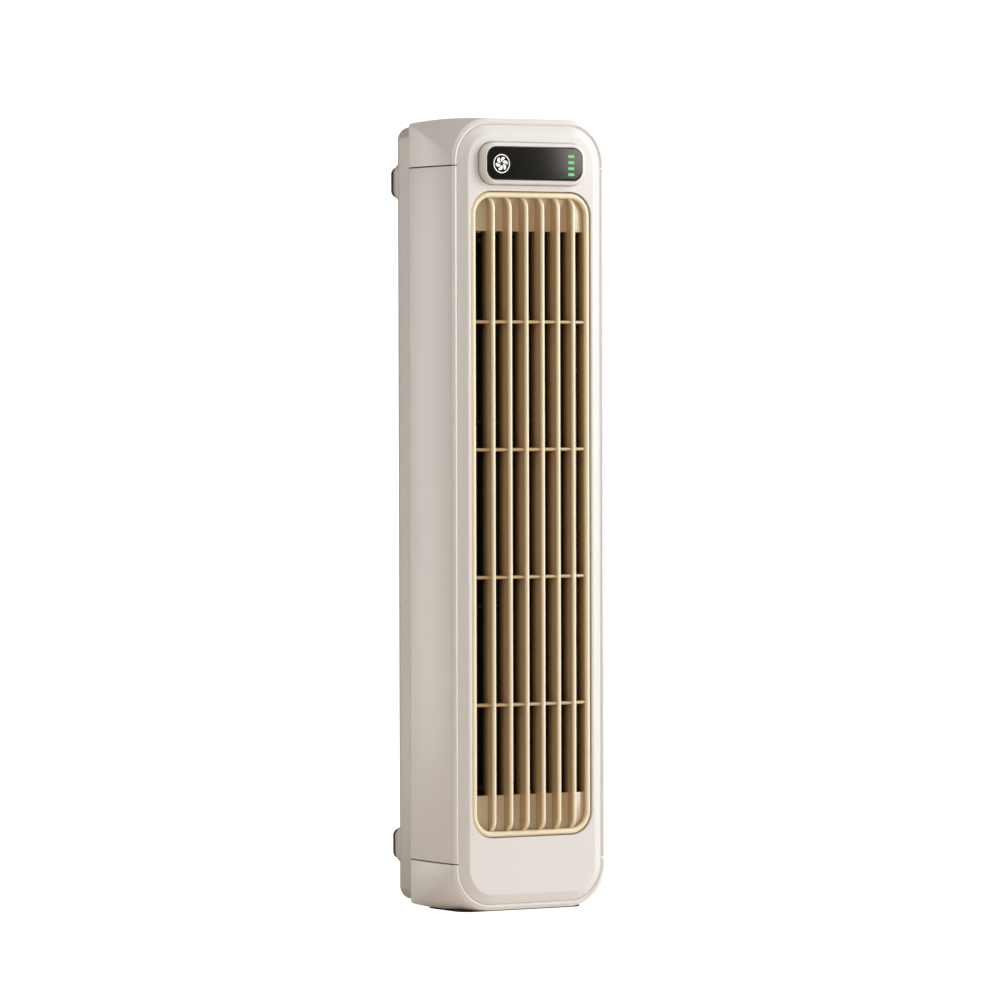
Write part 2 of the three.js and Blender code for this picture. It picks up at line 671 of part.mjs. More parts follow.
const lampPlaces = Array.from({ length: LAMP_COUNT },
  (_, i) => displayZ - LAMP_DROP - (i - (LAMP_COUNT - 1) / 2) * LAMP_PITCH);
const ledY = boardY - FIT_GAP - LED_THICKNESS;

// Comb with one clear prong for each indicator, so that their lights do not mix.
function lightGuide() {
  const backToY = ledY - FIT_GAP;
  const backFromY = backToY - GUIDE_BACK;
  const bar = box(lampX - LAMP_WIDTH / 2, lampX + LAMP_WIDTH / 2, backFromY, backToY,
    lampPlaces[LAMP_COUNT - 1] - LAMP_HEIGHT / 2, lampPlaces[0] + LAMP_HEIGHT / 2);
  const prongs = lampPlaces.map(z => box(lampX - LAMP_WIDTH / 2 + PRONG_INSET,
    lampX + LAMP_WIDTH / 2 - PRONG_INSET, windowBackY + FIT_GAP, backFromY + JOIN,
    z - LAMP_HEIGHT / 2 + PRONG_INSET, z + LAMP_HEIGHT / 2 - PRONG_INSET));
  return join(bar, ...prongs);
}

function led(z) {
  return box(lampX - LED_WIDTH / 2, lampX + LED_WIDTH / 2, ledY, ledY + LED_THICKNESS,
    z - LED_HEIGHT / 2, z + LED_HEIGHT / 2);
}

function controlBoard() {
  const outline = rectangle(padX - POST_RADIUS - FIT_GAP, displayHalfHeight + BOARD_LAP,
    BOARD_LAP, 0, displayZ, 2);
  return prismY(outline, boardY, boardY + BOARD_THICKNESS);
}

// Coil that carries the touch key's charge from the board to the back of the window.
function touchSpring() {
  const fromY = windowBackY + FIT_GAP + SPRING_WIRE;
  const toY = boardY - FIT_GAP - SPRING_WIRE;
  const steps = SPRING_TURNS * SPRING_FACETS;
  const points = [];
  for (let i = 0; i <= steps; i++) {
    const angle = radians(360 * SPRING_TURNS * i / steps);
    points.push(new THREE.Vector3(keyX + SPRING_RADIUS * Math.cos(angle),
      THREE.MathUtils.lerp(fromY, toY, i / steps), displayZ + SPRING_RADIUS * Math.sin(angle)));
  }
  const wire = new THREE.Shape(
    new THREE.EllipseCurve(0, 0, SPRING_WIRE, SPRING_WIRE).getPoints(WIRE_SIDES).slice(1));
  return new THREE.ExtrudeGeometry(wire,
    { steps, extrudePath: new THREE.CatmullRomCurve3(points), bevelEnabled: false });
}

// ---------------------------------------------------------------- partitions at the duct's ends

const duct = { fromY: grilleBackY + FIT_GAP + PLATE_THICKNESS, toY: backInnerY - FIT_GAP };
duct.halfWidth = rearHalfWidth - WALL - FIT_GAP;
const bossRadius = CUSHION_RADIUS + FIT_GAP + BOSS_WALL;
const bearingTopZ = ductTopZ + BUSH_LENGTH;

// Plate across the case with an upright wall close behind the fins.
function partition(plateFromZ, wallFromZ, wallToZ) {
  const middleY = (duct.fromY + duct.toY) / 2;
  const plate = prismZ(rectangle(duct.halfWidth, (duct.toY - duct.fromY) / 2, PLATE_CORNER, 0,
    middleY, 3), plateFromZ, plateFromZ + PLATE_THICKNESS);
  const wall = box(-outletHalfWidth, outletHalfWidth, grilleBackY + FIT_GAP, duct.fromY + JOIN,
    wallFromZ, wallToZ);
  return join(plate, wall);
}

function upperPartition() {
  const boss = rodZ(bossRadius, IMPELLER_OFFSET, impellerY, ductTopZ + JOIN,
    bearingTopZ + FIT_GAP + BOSS_LID);
  const seat = rodZ(CUSHION_RADIUS + FIT_GAP, IMPELLER_OFFSET, impellerY, ductTopZ - OVERCUT,
    bearingTopZ + FIT_GAP);
  return cut(join(partition(ductTopZ, ductTopZ, outletTopZ), boss), seat);
}

const motorScrewPlaces = [-1, 1].map(side => IMPELLER_OFFSET + side * MOTOR_SCREW_SPREAD);
const motorTopZ = ductBottomZ - PLATE_THICKNESS - DAMPER_THICKNESS - 2 * FIT_GAP;
const motorBottomZ = SOCKET_HEIGHT + SOCKET_THICKNESS / 2 + MOTOR_CLEARANCE;

function lowerPartition() {
  const plateZ = ductBottomZ - PLATE_THICKNESS;
  const passage = rodZ(MOTOR_BOSS_RADIUS + FIT_GAP, IMPELLER_OFFSET, impellerY,
    plateZ - OVERCUT, ductBottomZ + OVERCUT);
  const holes = motorScrewPlaces.map(x => rodZ(MOTOR_SCREW_RADIUS + FIT_GAP, x, impellerY,
    plateZ - OVERCUT, ductBottomZ + OVERCUT, BORE_SIDES));
  return cut(partition(plateZ, outletBottomZ, ductBottomZ), passage, ...holes);
}

// ---------------------------------------------------------------- duct walls

// Wall of even thickness along a line of XY points.
function wallAlong(points, thickness, fromZ, toZ) {
  const left = [];
  const right = [];
  points.forEach((point, i) => {
    const before = points[Math.max(i - 1, 0)];
    const after = points[Math.min(i + 1, points.length - 1)];
    const along = after.clone().sub(before).normalize();
    const across = new THREE.Vector2(-along.y, along.x).multiplyScalar(thickness / 2);
    left.push(point.clone().add(across));
    right.unshift(point.clone().sub(across));
  });
  return prismZ(new THREE.Shape([...left, ...right]), fromZ, toZ);
}

function aroundImpeller(radius, degrees) {
  return new THREE.Vector2(IMPELLER_OFFSET + radius * Math.cos(radians(degrees)),
    impellerY + radius * Math.sin(radians(degrees)));
}

// Spiral that opens from behind the impeller round to the right edge of the outlet.
function rearGuide() {
  const points = [];
  for (let i = 0; i <= GUIDE_STEPS; i++) {
    const share = i / GUIDE_STEPS;
    const radius = impellerRadius + GUIDE_CLEARANCE + GUIDE_THICKNESS / 2
      + GUIDE_OPENING * share ** 1.3;
    points.push(aroundImpeller(radius, THREE.MathUtils.lerp(GUIDE_START, GUIDE_END, share)));
  }
  points.push(new THREE.Vector2(grilleHalfWidth, duct.fromY + FIT_GAP + GUIDE_THICKNESS / 2));
  return wallAlong(points, GUIDE_THICKNESS, ductBottomZ + FIT_GAP, ductTopZ - FIT_GAP);
}

// Stabiliser: from the outlet's left edge in to the impeller, then back out to the side wall.
function tonguePlate() {
  const nose = aroundImpeller(impellerRadius + GUIDE_CLEARANCE + GUIDE_THICKNESS / 2, TONGUE_ANGLE);
  const sideX = -duct.halfWidth + GUIDE_THICKNESS;
  const start = new THREE.Vector2(-grilleHalfWidth, duct.fromY + FIT_GAP + GUIDE_THICKNESS / 2);
  const end = new THREE.Vector2(sideX, nose.y + TONGUE_RISE);
  const run = new THREE.QuadraticBezierCurve(start,
    new THREE.Vector2(start.x + TONGUE_BEND, nose.y - TONGUE_BEND), nose);
  const back = new THREE.QuadraticBezierCurve(nose,
    new THREE.Vector2(nose.x - TONGUE_BEND / 2, end.y), end);
  const points = [...run.getPoints(TONGUE_STEPS), ...back.getPoints(TONGUE_STEPS).slice(1)];
  return wallAlong(points, GUIDE_THICKNESS, ductBottomZ + FIT_GAP, ductTopZ - FIT_GAP);
}

// ---------------------------------------------------------------- impeller

// Curved blade section, hollow side forward, thinning to both edges.
function bladeShape(startAngle) {
  const rootRadius = impellerRadius - RING_LAND - BLADE_DEPTH;
  const tipRadius = impellerRadius - RING_LAND;
  const root = aroundImpeller(rootRadius, startAngle);
  const tip = aroundImpeller(tipRadius, startAngle + BLADE_SWEEP);
  const belly = aroundImpeller(tipRadius - BLADE_BELLY, startAngle + BLADE_SWEEP / 10);
  const camber = new THREE.QuadraticBezierCurve(root, belly, tip);
  const front = [];
  const back = [];
  for (let i = 0; i <= BLADE_STEPS; i++) {
    const share = i / BLADE_STEPS;
    const along = camber.getTangent(share);
    const fullness = THREE.MathUtils.lerp(BLADE_EDGE, 1, Math.sin(Math.PI * share));
    const across = new THREE.Vector2(-along.y, along.x)
      .multiplyScalar(BLADE_THICKNESS / 2 * fullness);
    front.push(camber.getPoint(share).add(across));
    back.unshift(camber.getPoint(share).sub(across));
  }
  return new THREE.Shape([...front, ...back]);
}

// Cross-flow wheel: curved blades run its whole length between two discs and open rings.
function impeller() {
  const blades = Array.from({ length: BLADE_COUNT }, (_, i) => prismZ(
    bladeShape(360 * i / BLADE_COUNT), impellerBottomZ + DISC_THICKNESS / 2,
    impellerTopZ - DISC_THICKNESS / 2));
  const ringInner = impellerRadius - BLADE_DEPTH - 2 * RING_LAND;
  const disc = fromZ => rodZ(impellerRadius, IMPELLER_OFFSET, impellerY, fromZ,
    fromZ + DISC_THICKNESS, WHEEL_SIDES);
  const rings = [];
  for (let i = 1; i <= RING_COUNT; i++) {
    const z = THREE.MathUtils.lerp(impellerBottomZ, impellerTopZ, i / (RING_COUNT + 1));
    rings.push(tubeZ(impellerRadius, ringInner, IMPELLER_OFFSET, impellerY,
      z - RING_THICKNESS / 2, z + RING_THICKNESS / 2, WHEEL_SIDES));
  }
  const topHub = rodZ(HUB_RADIUS, IMPELLER_OFFSET, impellerY,
    impellerTopZ - SHAFT_INSERT - HUB_LID, impellerTopZ - JOIN);
  const bottomHub = rodZ(COUPLING_RADIUS + FIT_GAP + HUB_WALL, IMPELLER_OFFSET, impellerY,
    impellerBottomZ + JOIN, impellerBottomZ + COUPLING_LENGTH + HUB_LID);
  const shaftBore = rodZ(SHAFT_RADIUS + FIT_GAP, IMPELLER_OFFSET, impellerY,
    impellerTopZ - SHAFT_INSERT, impellerTopZ + OVERCUT);
  const couplingBore = rodZ(COUPLING_RADIUS + FIT_GAP, IMPELLER_OFFSET, impellerY,
    impellerBottomZ - OVERCUT, impellerBottomZ + COUPLING_LENGTH);
  const wheel = join(disc(impellerBottomZ), disc(impellerTopZ - DISC_THICKNESS), ...rings,
    ...blades, topHub, bottomHub);
  return cut(wheel, shaftBore, couplingBore);
}

// ---------------------------------------------------------------- bearings and drive

function impellerShaft() {
  return rodZ(SHAFT_RADIUS, IMPELLER_OFFSET, impellerY, impellerTopZ - SHAFT_INSERT + FIT_GAP,
    bearingTopZ - FIT_GAP, STEM_SIDES);
}

function upperBearing() {
  return tubeZ(BUSH_RADIUS, SHAFT_RADIUS + FIT_GAP, IMPELLER_OFFSET, impellerY,
    ductTopZ + FIT_GAP, bearingTopZ, STEM_SIDES);
}

function bearingCushion() {
  return tubeZ(CUSHION_RADIUS, BUSH_RADIUS + FIT_GAP, IMPELLER_OFFSET, impellerY,
    ductTopZ + FIT_GAP, bearingTopZ, STEM_SIDES);
}

function couplingBush() {
  return tubeZ(COUPLING_RADIUS, MOTOR_SHAFT_RADIUS + FIT_GAP, IMPELLER_OFFSET, impellerY,
    impellerBottomZ + FIT_GAP, impellerBottomZ + COUPLING_LENGTH - FIT_GAP, STEM_SIDES);
}

function motorShaft() {
  return rodZ(MOTOR_SHAFT_RADIUS, IMPELLER_OFFSET, impellerY, motorBottomZ + FIT_GAP,
    impellerBottomZ + COUPLING_LENGTH - 2 * FIT_GAP, BORE_SIDES);
}

// Motor with rounded shoulders and a locating boss, open down its middle for the shaft.
function motorCan() {
  const radius = MOTOR_DIAMETER / 2;
  const bore = MOTOR_SHAFT_RADIUS + FIT_GAP;
  const bossTopZ = motorTopZ + MOTOR_BOSS_HEIGHT;
  const can = turnedZ([[bore, motorBottomZ], [radius - MOTOR_SHOULDER, motorBottomZ],
    [radius, motorBottomZ + MOTOR_SHOULDER], [radius, motorTopZ - MOTOR_SHOULDER],
    [radius - MOTOR_SHOULDER, motorTopZ], [MOTOR_BOSS_RADIUS, motorTopZ],
    [MOTOR_BOSS_RADIUS, bossTopZ], [bore, bossTopZ], [bore, motorBottomZ]],
    IMPELLER_OFFSET, impellerY, MOTOR_SIDES);
  const holes = motorScrewPlaces.map(x => rodZ(MOTOR_SCREW_RADIUS + FIT_GAP, x, impellerY,
    motorTopZ - MOTOR_SCREW_DEPTH - FIT_GAP, motorTopZ + OVERCUT, BORE_SIDES));
  return cut(can, ...holes);
}

function motorDamper() {
  const inner = MOTOR_BOSS_RADIUS + FIT_GAP;
  return tubeZ(inner + DAMPER_WIDTH, inner, IMPELLER_OFFSET, impellerY, motorTopZ + FIT_GAP,
    motorTopZ + FIT_GAP + DAMPER_THICKNESS, STEM_SIDES);
}

function motorScrew(x) {
  const tipZ = motorTopZ - MOTOR_SCREW_DEPTH;
  const headZ = ductBottomZ + FIT_GAP;
  const headRadius = 2 * MOTOR_SCREW_RADIUS;
  return turnedZ([[0, tipZ], [MOTOR_SCREW_RADIUS, tipZ], [MOTOR_SCREW_RADIUS, headZ],
    [headRadius, headZ], [headRadius, headZ + MOTOR_SCREW_HEAD], [0, headZ + MOTOR_SCREW_HEAD]],
    x, impellerY, BORE_SIDES);
}

// ---------------------------------------------------------------- rear cover, pads and screws

function intakeSlots() {
  const slots = [];
  const columnPitch = (2 * (rearHalfWidth - SLOT_SIDE_MARGIN) - SLOT_WIDTH) / (SLOT_COLUMNS - 1);
  const rowPitch = (ductTopZ - ductBottomZ - 2 * SLOT_END_MARGIN + SLOT_ROW_GAP) / SLOT_ROWS;
  const halfLength = (rowPitch - SLOT_ROW_GAP) / 2;
  for (let column = 0; column < SLOT_COLUMNS; column++) {
    for (let row = 0; row < SLOT_ROWS; row++) {
      const x = (column - (SLOT_COLUMNS - 1) / 2) * columnPitch;
      const z = caseMidZ + (row - (SLOT_ROWS - 1) / 2) * rowPitch;
      slots.push(prismY(slotShape(SLOT_WIDTH / 2, halfLength, x, z), backInnerY - OVERCUT,
        backY + OVERCUT));
    }
  }
  return slots;
}

// Block whose rear edges are rounded: the cover's outside, or the hollow in it.
function roundedTray(inset, fromY, toY, steps) {
  const fillet = REAR_FILLET - inset;
  const rings = [rearRing(inset, fromY)];
  for (let i = 0; i <= steps; i++) {
    const angle = radians(90 * i / steps);
    rings.push(rearRing(inset + fillet * (1 - Math.cos(angle)),
      toY - fillet * (1 - Math.sin(angle))));
  }
  return loft(rings);
}

// Deep tray with rounded rear edges; tapering bosses hide the screws at its corners.
function rearCover() {
  const frontY = bandRearY + FIT_GAP;
  const outside = roundedTray(0, frontY, backY, 3);
  const hollow = roundedTray(WALL, frontY - OVERCUT, backInnerY, 2);
  const bosses = padPlaces.map(([x, z]) => loft([
    uprightRing(PAD_FOOT_HALF, PAD_FOOT_HALF, PAD_FOOT_CORNER, backY - REAR_FILLET, x, z),
    uprightRing(PAD_FOOT_HALF, PAD_FOOT_HALF, PAD_FOOT_CORNER, backY, x, z),
    uprightRing(PAD_HALF, PAD_HALF, PAD_CORNER, backY + PAD_BOSS_HEIGHT, x, z),
  ]));
  const wells = padPlaces.map(([x, z]) =>
    rodY(SCREW_HEAD_RADIUS + FIT_GAP, x, z, backY, backY + PAD_BOSS_HEIGHT + OVERCUT,
      STEM_SIDES));
  const bores = padPlaces.map(([x, z]) =>
    rodY(SCREW_RADIUS + FIT_GAP, x, z, backInnerY - OVERCUT, backY + OVERCUT, BORE_SIDES));
  const inlet = prismY(rectangle(SOCKET_WIDTH / 2 + FIT_GAP, SOCKET_THICKNESS / 2 + FIT_GAP,
    SOCKET_THICKNESS / 2, 0, SOCKET_HEIGHT, SOCKET_CORNER_STEPS), backInnerY - OVERCUT,
    backY + OVERCUT);
  return cut(join(outside, ...bosses), hollow, ...wells, ...bores, inlet, ...intakeSlots());
}

// Rounded square of rubber with a plug that fills the well over the screw.
function rearPad([x, z]) {
  const seatY = backY + PAD_BOSS_HEIGHT + FIT_GAP;
  const faceY = seatY + PAD_THICKNESS;
  const ring = (inset, y) =>
    uprightRing(PAD_HALF - inset, PAD_HALF - inset, PAD_CORNER - inset, y, x, z);
  const slab = loft([ring(0, seatY), ring(0, faceY - PAD_EDGE), ring(PAD_EDGE, faceY)]);
  return join(slab, rodY(SCREW_HEAD_RADIUS, x, z, seatY - PAD_PLUG_LENGTH, seatY + JOIN));
}

function housingScrew([x, z]) {
  const headY = backY + FIT_GAP;
  const topY = headY + SCREW_HEAD_HEIGHT;
  return turnedY([[0, headY - SCREW_LENGTH], [SCREW_RADIUS, headY - SCREW_LENGTH],
    [SCREW_RADIUS, headY], [SCREW_HEAD_RADIUS, headY], [SCREW_HEAD_RADIUS - EDGE_ROUND, topY],
    [0, topY]], x, z, BORE_SIDES);
}

// ---------------------------------------------------------------- power and foot

function batteryPack() {
  const fromZ = ductTopZ + PLATE_THICKNESS + FIT_GAP;
  const toZ = caseMidZ + rearHalfHeight - WALL - BATTERY_HEADROOM;
  const halfWidth = padX - POST_RADIUS - BATTERY_SIDE_GAP;
  const shape = rectangle(halfWidth - BATTERY_EDGE, (toZ - fromZ) / 2 - BATTERY_EDGE,
    BATTERY_CORNER, 0, (fromZ + toZ) / 2, 2);
  const geometry = new THREE.ExtrudeGeometry(shape, {
    depth: BATTERY_THICKNESS - 2 * BATTERY_EDGE,
    bevelThickness: BATTERY_EDGE,
    bevelSize: BATTERY_EDGE,
    bevelSegments: 2,
  });
  return geometry.rotateX(Math.PI / 2).translate(0, backInnerY - FIT_GAP - BATTERY_EDGE, 0);
}

function powerBoard() {
  const middleY = (powerBoardFrontY + powerBoardBackY) / 2;
  return prismZ(rectangle(POWER_BOARD_WIDTH / 2, POWER_BOARD_DEPTH / 2, BOARD_LAP, 0, middleY, 2),
    powerBoardZ, powerBoardTopZ);
}

// Rounded metal shell of the charging socket, open towards the back.
function chargingSocket() {
  const halfWidth = SOCKET_WIDTH / 2;
  const halfHeight = SOCKET_THICKNESS / 2;
  const outline = rectangle(halfWidth, halfHeight, halfHeight - EDGE_ROUND, 0, SOCKET_HEIGHT,
    SOCKET_CORNER_STEPS);
  outline.holes.push(rectangle(halfWidth - SOCKET_WALL, halfHeight - SOCKET_WALL,
    halfHeight - SOCKET_WALL - EDGE_ROUND, 0, SOCKET_HEIGHT, SOCKET_CORNER_STEPS));
  return prismY(outline, socketBackY - SOCKET_DEPTH, socketBackY);
}

// Contact carrier inside the shell: a block with the thin centre tongue of the socket.
function socketInsert() {
  const frontY = socketBackY - SOCKET_DEPTH;
  const halfWidth = SOCKET_WIDTH / 2 - SOCKET_WALL - FIT_GAP;
  const halfHeight = SOCKET_THICKNESS / 2 - SOCKET_WALL - FIT_GAP;
  const block = prismY(rectangle(halfWidth, halfHeight, halfHeight - EDGE_ROUND, 0,
    SOCKET_HEIGHT, SOCKET_CORNER_STEPS), frontY, frontY + INSERT_DEPTH);
  const tongue = box(TONGUE_MARGIN - halfWidth, halfWidth - TONGUE_MARGIN,
    frontY + INSERT_DEPTH - JOIN, socketBackY - TONGUE_MARGIN,
    SOCKET_HEIGHT - TONGUE_THICKNESS / 2, SOCKET_HEIGHT + TONGUE_THICKNESS / 2);
  return join(block, tongue);
}

function footPad() {
  return prismZ(rectangle(basePad.halfWidth, basePad.halfDepth, BASE_PAD_CORNER, 0, basePad.y),
    0, BASE_PAD_THICKNESS);
}

// ---------------------------------------------------------------- finishes and assembly

const finish = (color, roughness, metalness = 0) =>
  new THREE.MeshStandardMaterial({ color, roughness, metalness });

const finishes = {
  case: () => finish(0xe9e3da, 0.38),
  grille: () => finish(0xe6d2ae, 0.35),
  window: () => finish(0x0b0c0d, 0.08),
  clear: () => finish(0xdff2df, 0.2),
  lamp: () => finish(0x59d65c, 0.3),
  board: () => finish(0x1f5b3a, 0.5),
  darkRubber: () => finish(0x2b2a29, 0.85),
  duct: () => finish(0xb9a27c, 0.5),
  wheel: () => finish(0x2a2522, 0.5),
  steel: () => finish(0xb8babc, 0.3, 1),
  bronze: () => finish(0xa77a45, 0.35, 1),
  battery: () => finish(0x3d6fb0, 0.4),
};

const fan = new THREE.Group();

function add(name, geometry, finishName) {
  const mesh = new THREE.Mesh(geometry, finishes[finishName]());
  mesh.name = name;
  fan.add(mesh);
}

add('top_cap', topCap(), 'case');
add('bottom_cap', bottomCap(), 'case');
add('left_side_panel', sidePanel(-1), 'case');
add('right_side_panel', sidePanel(1), 'case');
add('front_cover', frontCover(), 'case');
add('rear_cover', rearCover(), 'case');
add('outlet_grille', outletGrille(), 'grille');
add('display_bezel', displayBezel(), 'case');
add('display_window', displayWindow(), 'window');
add('light_guide', lightGuide(), 'clear');
lampPlaces.forEach((z, i) => add(`led_${i + 1}`, led(z), 'lamp'));
add('control_board', controlBoard(), 'board');
add('touch_spring', touchSpring(), 'steel');
add('upper_partition', upperPartition(), 'duct');
add('lower_partition', lowerPartition(), 'duct');
add('rear_guide', rearGuide(), 'wheel');
add('tongue_plate', tonguePlate(), 'wheel');
add('impeller', impeller(), 'wheel');
add('impeller_shaft', impellerShaft(), 'steel');
add('upper_bearing', upperBearing(), 'bronze');
add('bearing_cushion', bearingCushion(), 'darkRubber');
add('coupling_bush', couplingBush(), 'darkRubber');
add('motor_shaft', motorShaft(), 'steel');
add('motor_can', motorCan(), 'steel');
add('motor_damper', motorDamper(), 'darkRubber');
motorScrewPlaces.forEach((x, i) => add(`motor_screw_${i + 1}`, motorScrew(x), 'steel'));
padPlaces.forEach((place, i) => add(`rear_pad_${i + 1}`, rearPad(place), 'darkRubber'));
padPlaces.forEach((place, i) => add(`housing_screw_${i + 1}`, housingScrew(place), 'steel'));
add('battery_pack', batteryPack(), 'battery');
add('power_board', powerBoard(), 'board');
add('charging_socket', chargingSocket(), 'steel');
add('socket_insert', socketInsert(), 'darkRubber');
add('base_pad', footPad(), 'darkRubber');

export default fan;
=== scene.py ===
# %% [markdown]
# # A compact tower fan
#
# The real thing is a slim cordless fan, 330 mm tall. Its case is a shallow band of two side
# panels and two end caps. A raised front panel closes it in front, and a tray with rounded
# edges closes it behind. Air comes in through slots in the back, a long bladed wheel throws
# it forward, and it leaves through a champagne grille with deep upright fins.
#
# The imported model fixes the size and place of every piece. What follows gives the pieces
# that show their fine shape, worked out with numpy from the same sizes, and gives each
# material its grain, sheen and wear. Shape formulas are in millimetres, and the points
# become metres at the moment they enter a mesh.

# %% Load the frame
import json
import math

import bmesh
import bpy
import numpy as np
from mathutils import Matrix, Vector
from mathutils.geometry import delaunay_2d_cdt


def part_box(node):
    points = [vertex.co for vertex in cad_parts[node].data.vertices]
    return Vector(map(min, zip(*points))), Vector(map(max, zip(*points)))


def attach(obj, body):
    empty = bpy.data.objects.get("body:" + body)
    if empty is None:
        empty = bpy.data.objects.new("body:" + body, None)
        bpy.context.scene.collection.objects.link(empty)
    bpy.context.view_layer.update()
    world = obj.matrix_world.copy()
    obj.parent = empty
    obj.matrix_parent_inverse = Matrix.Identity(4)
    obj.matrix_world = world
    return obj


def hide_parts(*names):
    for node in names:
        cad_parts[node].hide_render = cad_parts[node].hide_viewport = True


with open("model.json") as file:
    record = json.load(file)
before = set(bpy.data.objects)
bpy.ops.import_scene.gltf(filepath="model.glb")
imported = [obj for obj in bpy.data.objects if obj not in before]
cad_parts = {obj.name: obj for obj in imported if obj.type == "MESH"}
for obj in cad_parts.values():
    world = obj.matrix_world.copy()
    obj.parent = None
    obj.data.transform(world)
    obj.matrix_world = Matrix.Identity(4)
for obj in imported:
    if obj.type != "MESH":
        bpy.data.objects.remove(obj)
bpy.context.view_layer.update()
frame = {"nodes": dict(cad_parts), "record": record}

MM = 0.001
X, Y, Z = 0, 1, 2
print("nodes in the frame:", len(frame["nodes"]))


# %% [markdown]
# ## Sizes
#
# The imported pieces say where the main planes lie, so those are read from their boxes. The
# rest are a maker's numbers: wall, lip, corner radii and the gentle law that makes the case
# widest a third of the way back.

# %% Planes and sizes
def span(node, axis):
    """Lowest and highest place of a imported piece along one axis, in millimetres."""
    low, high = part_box(node)
    return low[axis] / MM, high[axis] / MM


def centre(node, axis):
    """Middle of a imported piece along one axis, in millimetres."""
    return sum(span(node, axis)) / 2


GAP = 0.3
WALL = 2.0

LIP_Y, BAND_REAR_Y = span("left_side_panel", Y)
BAND_DEPTH = BAND_REAR_Y - LIP_Y
MIDDLE_Z = (span("bottom_cap", Z)[0] + span("top_cap", Z)[1]) / 2
HALF_WIDTH, HALF_HEIGHT = 37.5, 164.85
SIDE_DRAW, TOP_DRAW = 1.4, 1.6
WIDEST_AT = 0.35
FRONT_CORNER, REAR_CORNER = 18.0, 1.0

LIP_ROUND = 1.0
LIP_WIDTH = 2.4
GROOVE_DEPTH = 0.3
PANEL_INSET = 6.5
PANEL_Y = span("front_cover", Y)[0]
GROOVE_Y = LIP_Y + GROOVE_DEPTH

PAD_BOSS_HEIGHT = 5.2
BACK_Y = span("rear_cover", Y)[1] - PAD_BOSS_HEIGHT
BACK_INNER_Y = BACK_Y - WALL

print(f"band {LIP_Y:.2f} to {BAND_REAR_Y:.2f}, panel {PANEL_Y:.2f}, back {BACK_Y:.2f} mm")


# %% [markdown]
# ## The camera
#
# The fan is seen from its left front, 31 degrees round, from a long way off: a long lens
# keeps its uprights nearly parallel. The camera stands 216 mm above the ground, looks down
# by one degree and leans over very slightly.

# %% Camera
VIEW_AZIMUTH = math.radians(-31)
CAMERA_DISTANCE = 2.584
CAMERA_HEIGHT = 0.2158
CAMERA_LEAN = math.radians(0.152)
SENSOR = 36.0
FOCAL_LENGTH = 6.15 * SENSOR
AIM_HEIGHT, AIM_ASIDE = 0.1708, 0.0013

ahead = Vector((-math.sin(VIEW_AZIMUTH), math.cos(VIEW_AZIMUTH), 0))
aside = Vector((ahead.y, -ahead.x, 0))
camera_data = bpy.data.cameras.new("camera")
camera_data.sensor_width = SENSOR
camera_data.lens = FOCAL_LENGTH
camera_data.clip_end = 50
camera = bpy.data.objects.new("camera", camera_data)
bpy.context.scene.collection.objects.link(camera)
camera.location = -CAMERA_DISTANCE * ahead + Vector((0, 0, CAMERA_HEIGHT))
aim = AIM_ASIDE * aside + Vector((0, 0, AIM_HEIGHT))
facing = (aim - camera.location).to_track_quat("-Z", "Y").to_matrix()
camera.rotation_euler = (facing @ Matrix.Rotation(-CAMERA_LEAN, 3, "Z")).to_euler()
bpy.context.scene.camera = camera
print("camera at", [round(value, 3) for value in camera.location])


# %% [markdown]
# ## The floor and the light
#
# A sheet that curves up from floor to backdrop has no edge to show behind the fan. The room
# itself is a soft even white. A large cool light from the right front makes the front panel
# bright, a smaller warm one from the left front shades the left side, and a soft one from
# above lights the cap. A narrow strip close behind the left side draws the long sheen down
# its middle, and a small one close to the right front fades across the dark window.

# %% Floor sheet
def sweep_sheet(half_width, near, far, radius, height, steps):
    """x runs across. The profile goes back along the floor, turns up through a quarter
    circle (y = far + r sin t, z = r - r cos t) and climbs straight to its height."""
    turn = np.linspace(0, np.pi / 2, steps)
    sheet = np.empty((steps + 2, 2, 3))
    sheet[..., 0] = -half_width, half_width
    sheet[..., 1] = np.concatenate([[near], far + radius * np.sin(turn), [far + radius]])[:, None]
    sheet[..., 2] = np.concatenate([[0], radius - radius * np.cos(turn), [height]])[:, None]
    return sheet


def grid_faces(rows, columns, close_rows=False, close_columns=False):
    """Four-sided faces between neighbours of a grid, whose rows or columns may join up."""
    row = np.arange(rows if close_rows else rows - 1)[:, None]
    column = np.arange(columns if close_columns else columns - 1)[None, :]
    next_row = (row + 1) % rows
    next_column = (column + 1) % columns
    corners = [row * columns + column, row * columns + next_column,
               next_row * columns + next_column, next_row * columns + column]
    return np.stack(corners, axis=-1).reshape(-1, 4)


FLOOR_TONE = (0.90, 0.82, 0.73, 1)
floor_grid = sweep_sheet(half_width=4, near=-5, far=2.5, radius=1.2, height=5, steps=24)
floor_mesh = bpy.data.meshes.new("floor_sheet")
floor_mesh.from_pydata(floor_grid.reshape(-1, 3).tolist(), [],
                       grid_faces(*floor_grid.shape[:2]).tolist())
floor_mesh.polygons.foreach_set("use_smooth", np.ones(len(floor_mesh.polygons), bool))
floor_sheet = bpy.data.objects.new("floor_sheet", floor_mesh)
bpy.context.scene.collection.objects.link(floor_sheet)
floor_paper = bpy.data.materials.new("floor_paper")
floor_paper.use_nodes = True
paper = floor_paper.node_tree.nodes["Principled BSDF"]
paper.inputs["Base Color"].default_value = FLOOR_TONE
paper.inputs["Roughness"].default_value = 0.9
paper.inputs["Emission Color"].default_value = (1, 1, 1, 1)
seen_directly = floor_paper.node_tree.nodes.new("ShaderNodeLightPath").outputs["Is Camera Ray"]
floor_paper.node_tree.links.new(seen_directly, paper.inputs["Emission Strength"])
floor_mesh.materials.append(floor_paper)
print("points in the floor sheet:", len(floor_mesh.vertices))


